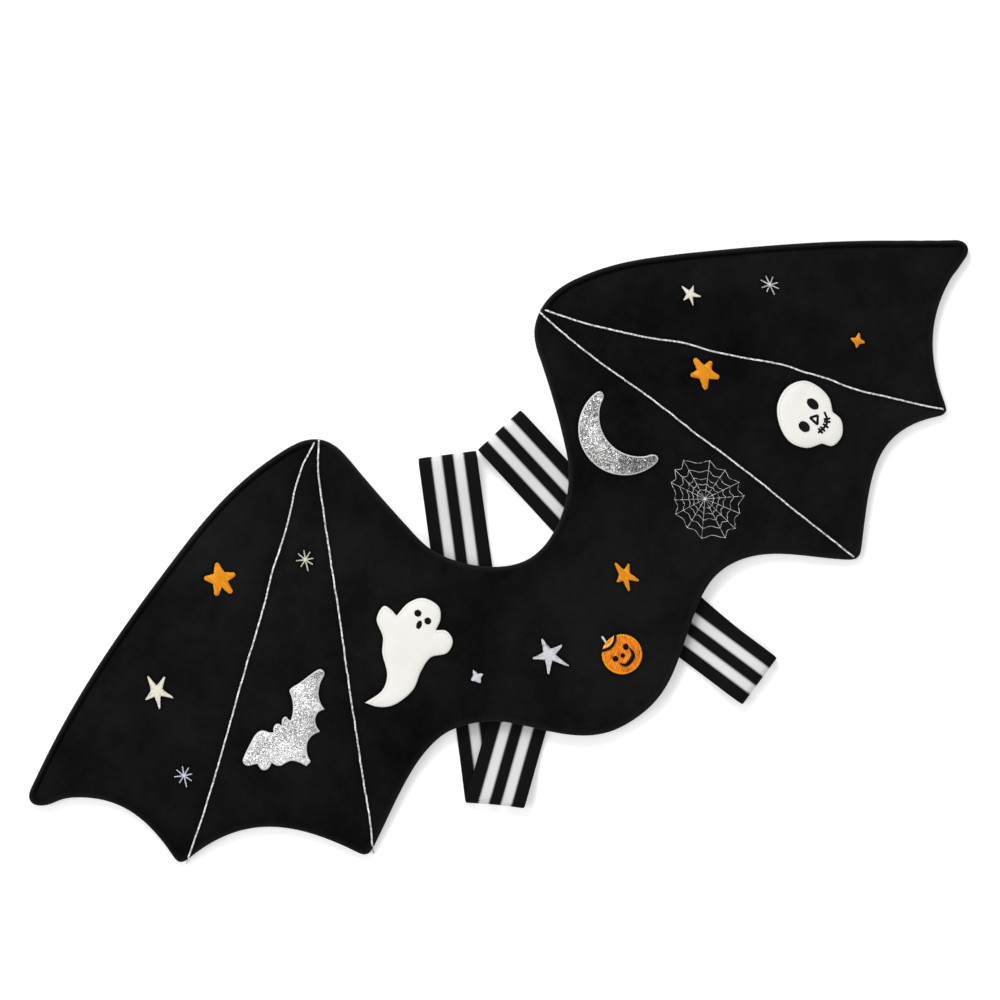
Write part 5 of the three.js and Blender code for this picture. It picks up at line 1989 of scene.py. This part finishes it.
def bat_figure() -> Figure:
    """The bat's outline, from its right wing's tip round by its feet and its ears."""
    rows = [
        (470, 28), (490, 50), (465, 110), (456, 170), (468, 220), (490, 255, 1), (457, 270), (438, 310),
        (445, 350), (465, 380, 1), (422, 402), (395, 440), (391, 490), (402, 530), (412, 548), (388, 575, 1),
        (350, 555), (305, 545), (270, 558), (245, 573), (215, 570), (192, 555, 1), (180, 582), (160, 597),
        (135, 595), (120, 577), (112, 562, 1), (85, 568), (60, 574), (38, 566), (28, 545), (40, 510),
        (70, 450), (95, 405), (120, 380), (145, 374), (180, 385), (203, 386, 1), (202, 360), (215, 339),
        (235, 337), (250, 352, 1), (250, 320), (260, 300), (275, 297), (286, 312), (300, 318, 1), (310, 280),
        (312, 230), (302, 180), (292, 150), (304, 134), (350, 105), (410, 60), (450, 33),
    ]
    points = [(*BAT_VIEW.at(*row[:2]), *row[2:]) for row in rows]
    return Figure((0.0, 0.0), 1.0, points)


def web_spokes() -> "list[tuple[float, float]]":
    """Heading and length of each of the cobweb's spokes."""
    tips = [
        (320, 100), (775, 105), (1040, 270), (1280, 480), (1370, 715), (1290, 1015), (1215, 1280),
        (1040, 1440), (630, 1450), (380, 1265), (180, 1030), (165, 785), (105, 485), (170, 265),
    ]
    middle = np.array(seen_at(*WEB_MIDDLE))
    found = []
    for x, y in tips:
        out = np.array(WEB_VIEW.at(x, y)) - middle
        found.append((math.degrees(math.atan2(out[1], out[0])), float(np.hypot(*out))))
    return found


def drawings(pumpkin: np.ndarray) -> "list[SatinLine]":
    """The mouths, the skull's nose, and the pumpkin's rim, lid line and stem.

    Args:
        pumpkin: The pumpkin's outline.

    Returns:
        The lines to sew.
    """
    mouth = SKULL_VIEW.line((1085, 780), (1130, 900), (1125, 1000), (1060, 1080), (970, 1160))
    line = evenly(curve_through(np.array(mouth), False), 1.0)
    aside = left_of(headings(line))
    crosses = []
    for share in (0.3, 0.47, 0.62, 0.77, 0.91):
        i = int(share * (len(line) - 1))
        crosses.append([tuple(line[i] - aside[i] * 2.1), tuple(line[i] + aside[i] * 2.1)])
    nose = SKULL_VIEW.line((820, 885), (960, 838), (955, 1010), (820, 885))
    rim = shifted(pumpkin, 0.75)
    smile = PUMPKIN_VIEW.line((945, 540), (1030, 700), (960, 860), (850, 950), (700, 915))
    lid = PUMPKIN_VIEW.line((600, 215), (570, 400), (470, 540), (270, 615))
    lid_light = PUMPKIN_VIEW.line((575, 250), (525, 380), (440, 475), (320, 535))
    stem = PUMPKIN_VIEW.line((285, 270), (375, 405))
    return [
        SatinLine("skull_nose_stitching", BLACK, [nose], 1.8, 1.05, ("skull_nose",), smooth=False),
        SatinLine("skull_mouth", BLACK, [mouth, *crosses], 1.6, 1.05),
        SatinLine("pumpkin_rim", ORANGE, [[*map(tuple, rim), tuple(rim[0])]], 1.5, 0.6, tone=0.6),
        SatinLine("pumpkin_smile", BLACK, [smile], 3.1, 1.15, taper=True),
        SatinLine("pumpkin_lid", BLACK, [lid], 2.0, 1.25),
        SatinLine("pumpkin_lid_light", PALE_ORANGE, [lid_light], 1.5, 1.0),
        SatinLine("pumpkin_stem_stitching", CREAM, [stem], 1.4, 0.25, ("pumpkin_stem",)),
    ]


def seams(body: PaddedBody, surface: Surface, yarn: Yarn) -> bpy.types.Object:
    """Stitches of the channel round the edge.

    Args:
        body: The body that they go through.
        surface: Its face.
        yarn: The trees of thread.

    Returns:
        The piece.
    """
    line = shifted(body.outline, body.channel)
    line = surface.laid(looped(line), 0.05)
    sizes = {"Pitch": 3.2, "Length": 2.2, "Radius": 0.18, "Slant": 0.0}
    return dressed(yarn.along(yarn.stitches, "channel_stitches", [line], SEAM, sizes), SEAM)


if __name__ == "__main__":
    main()
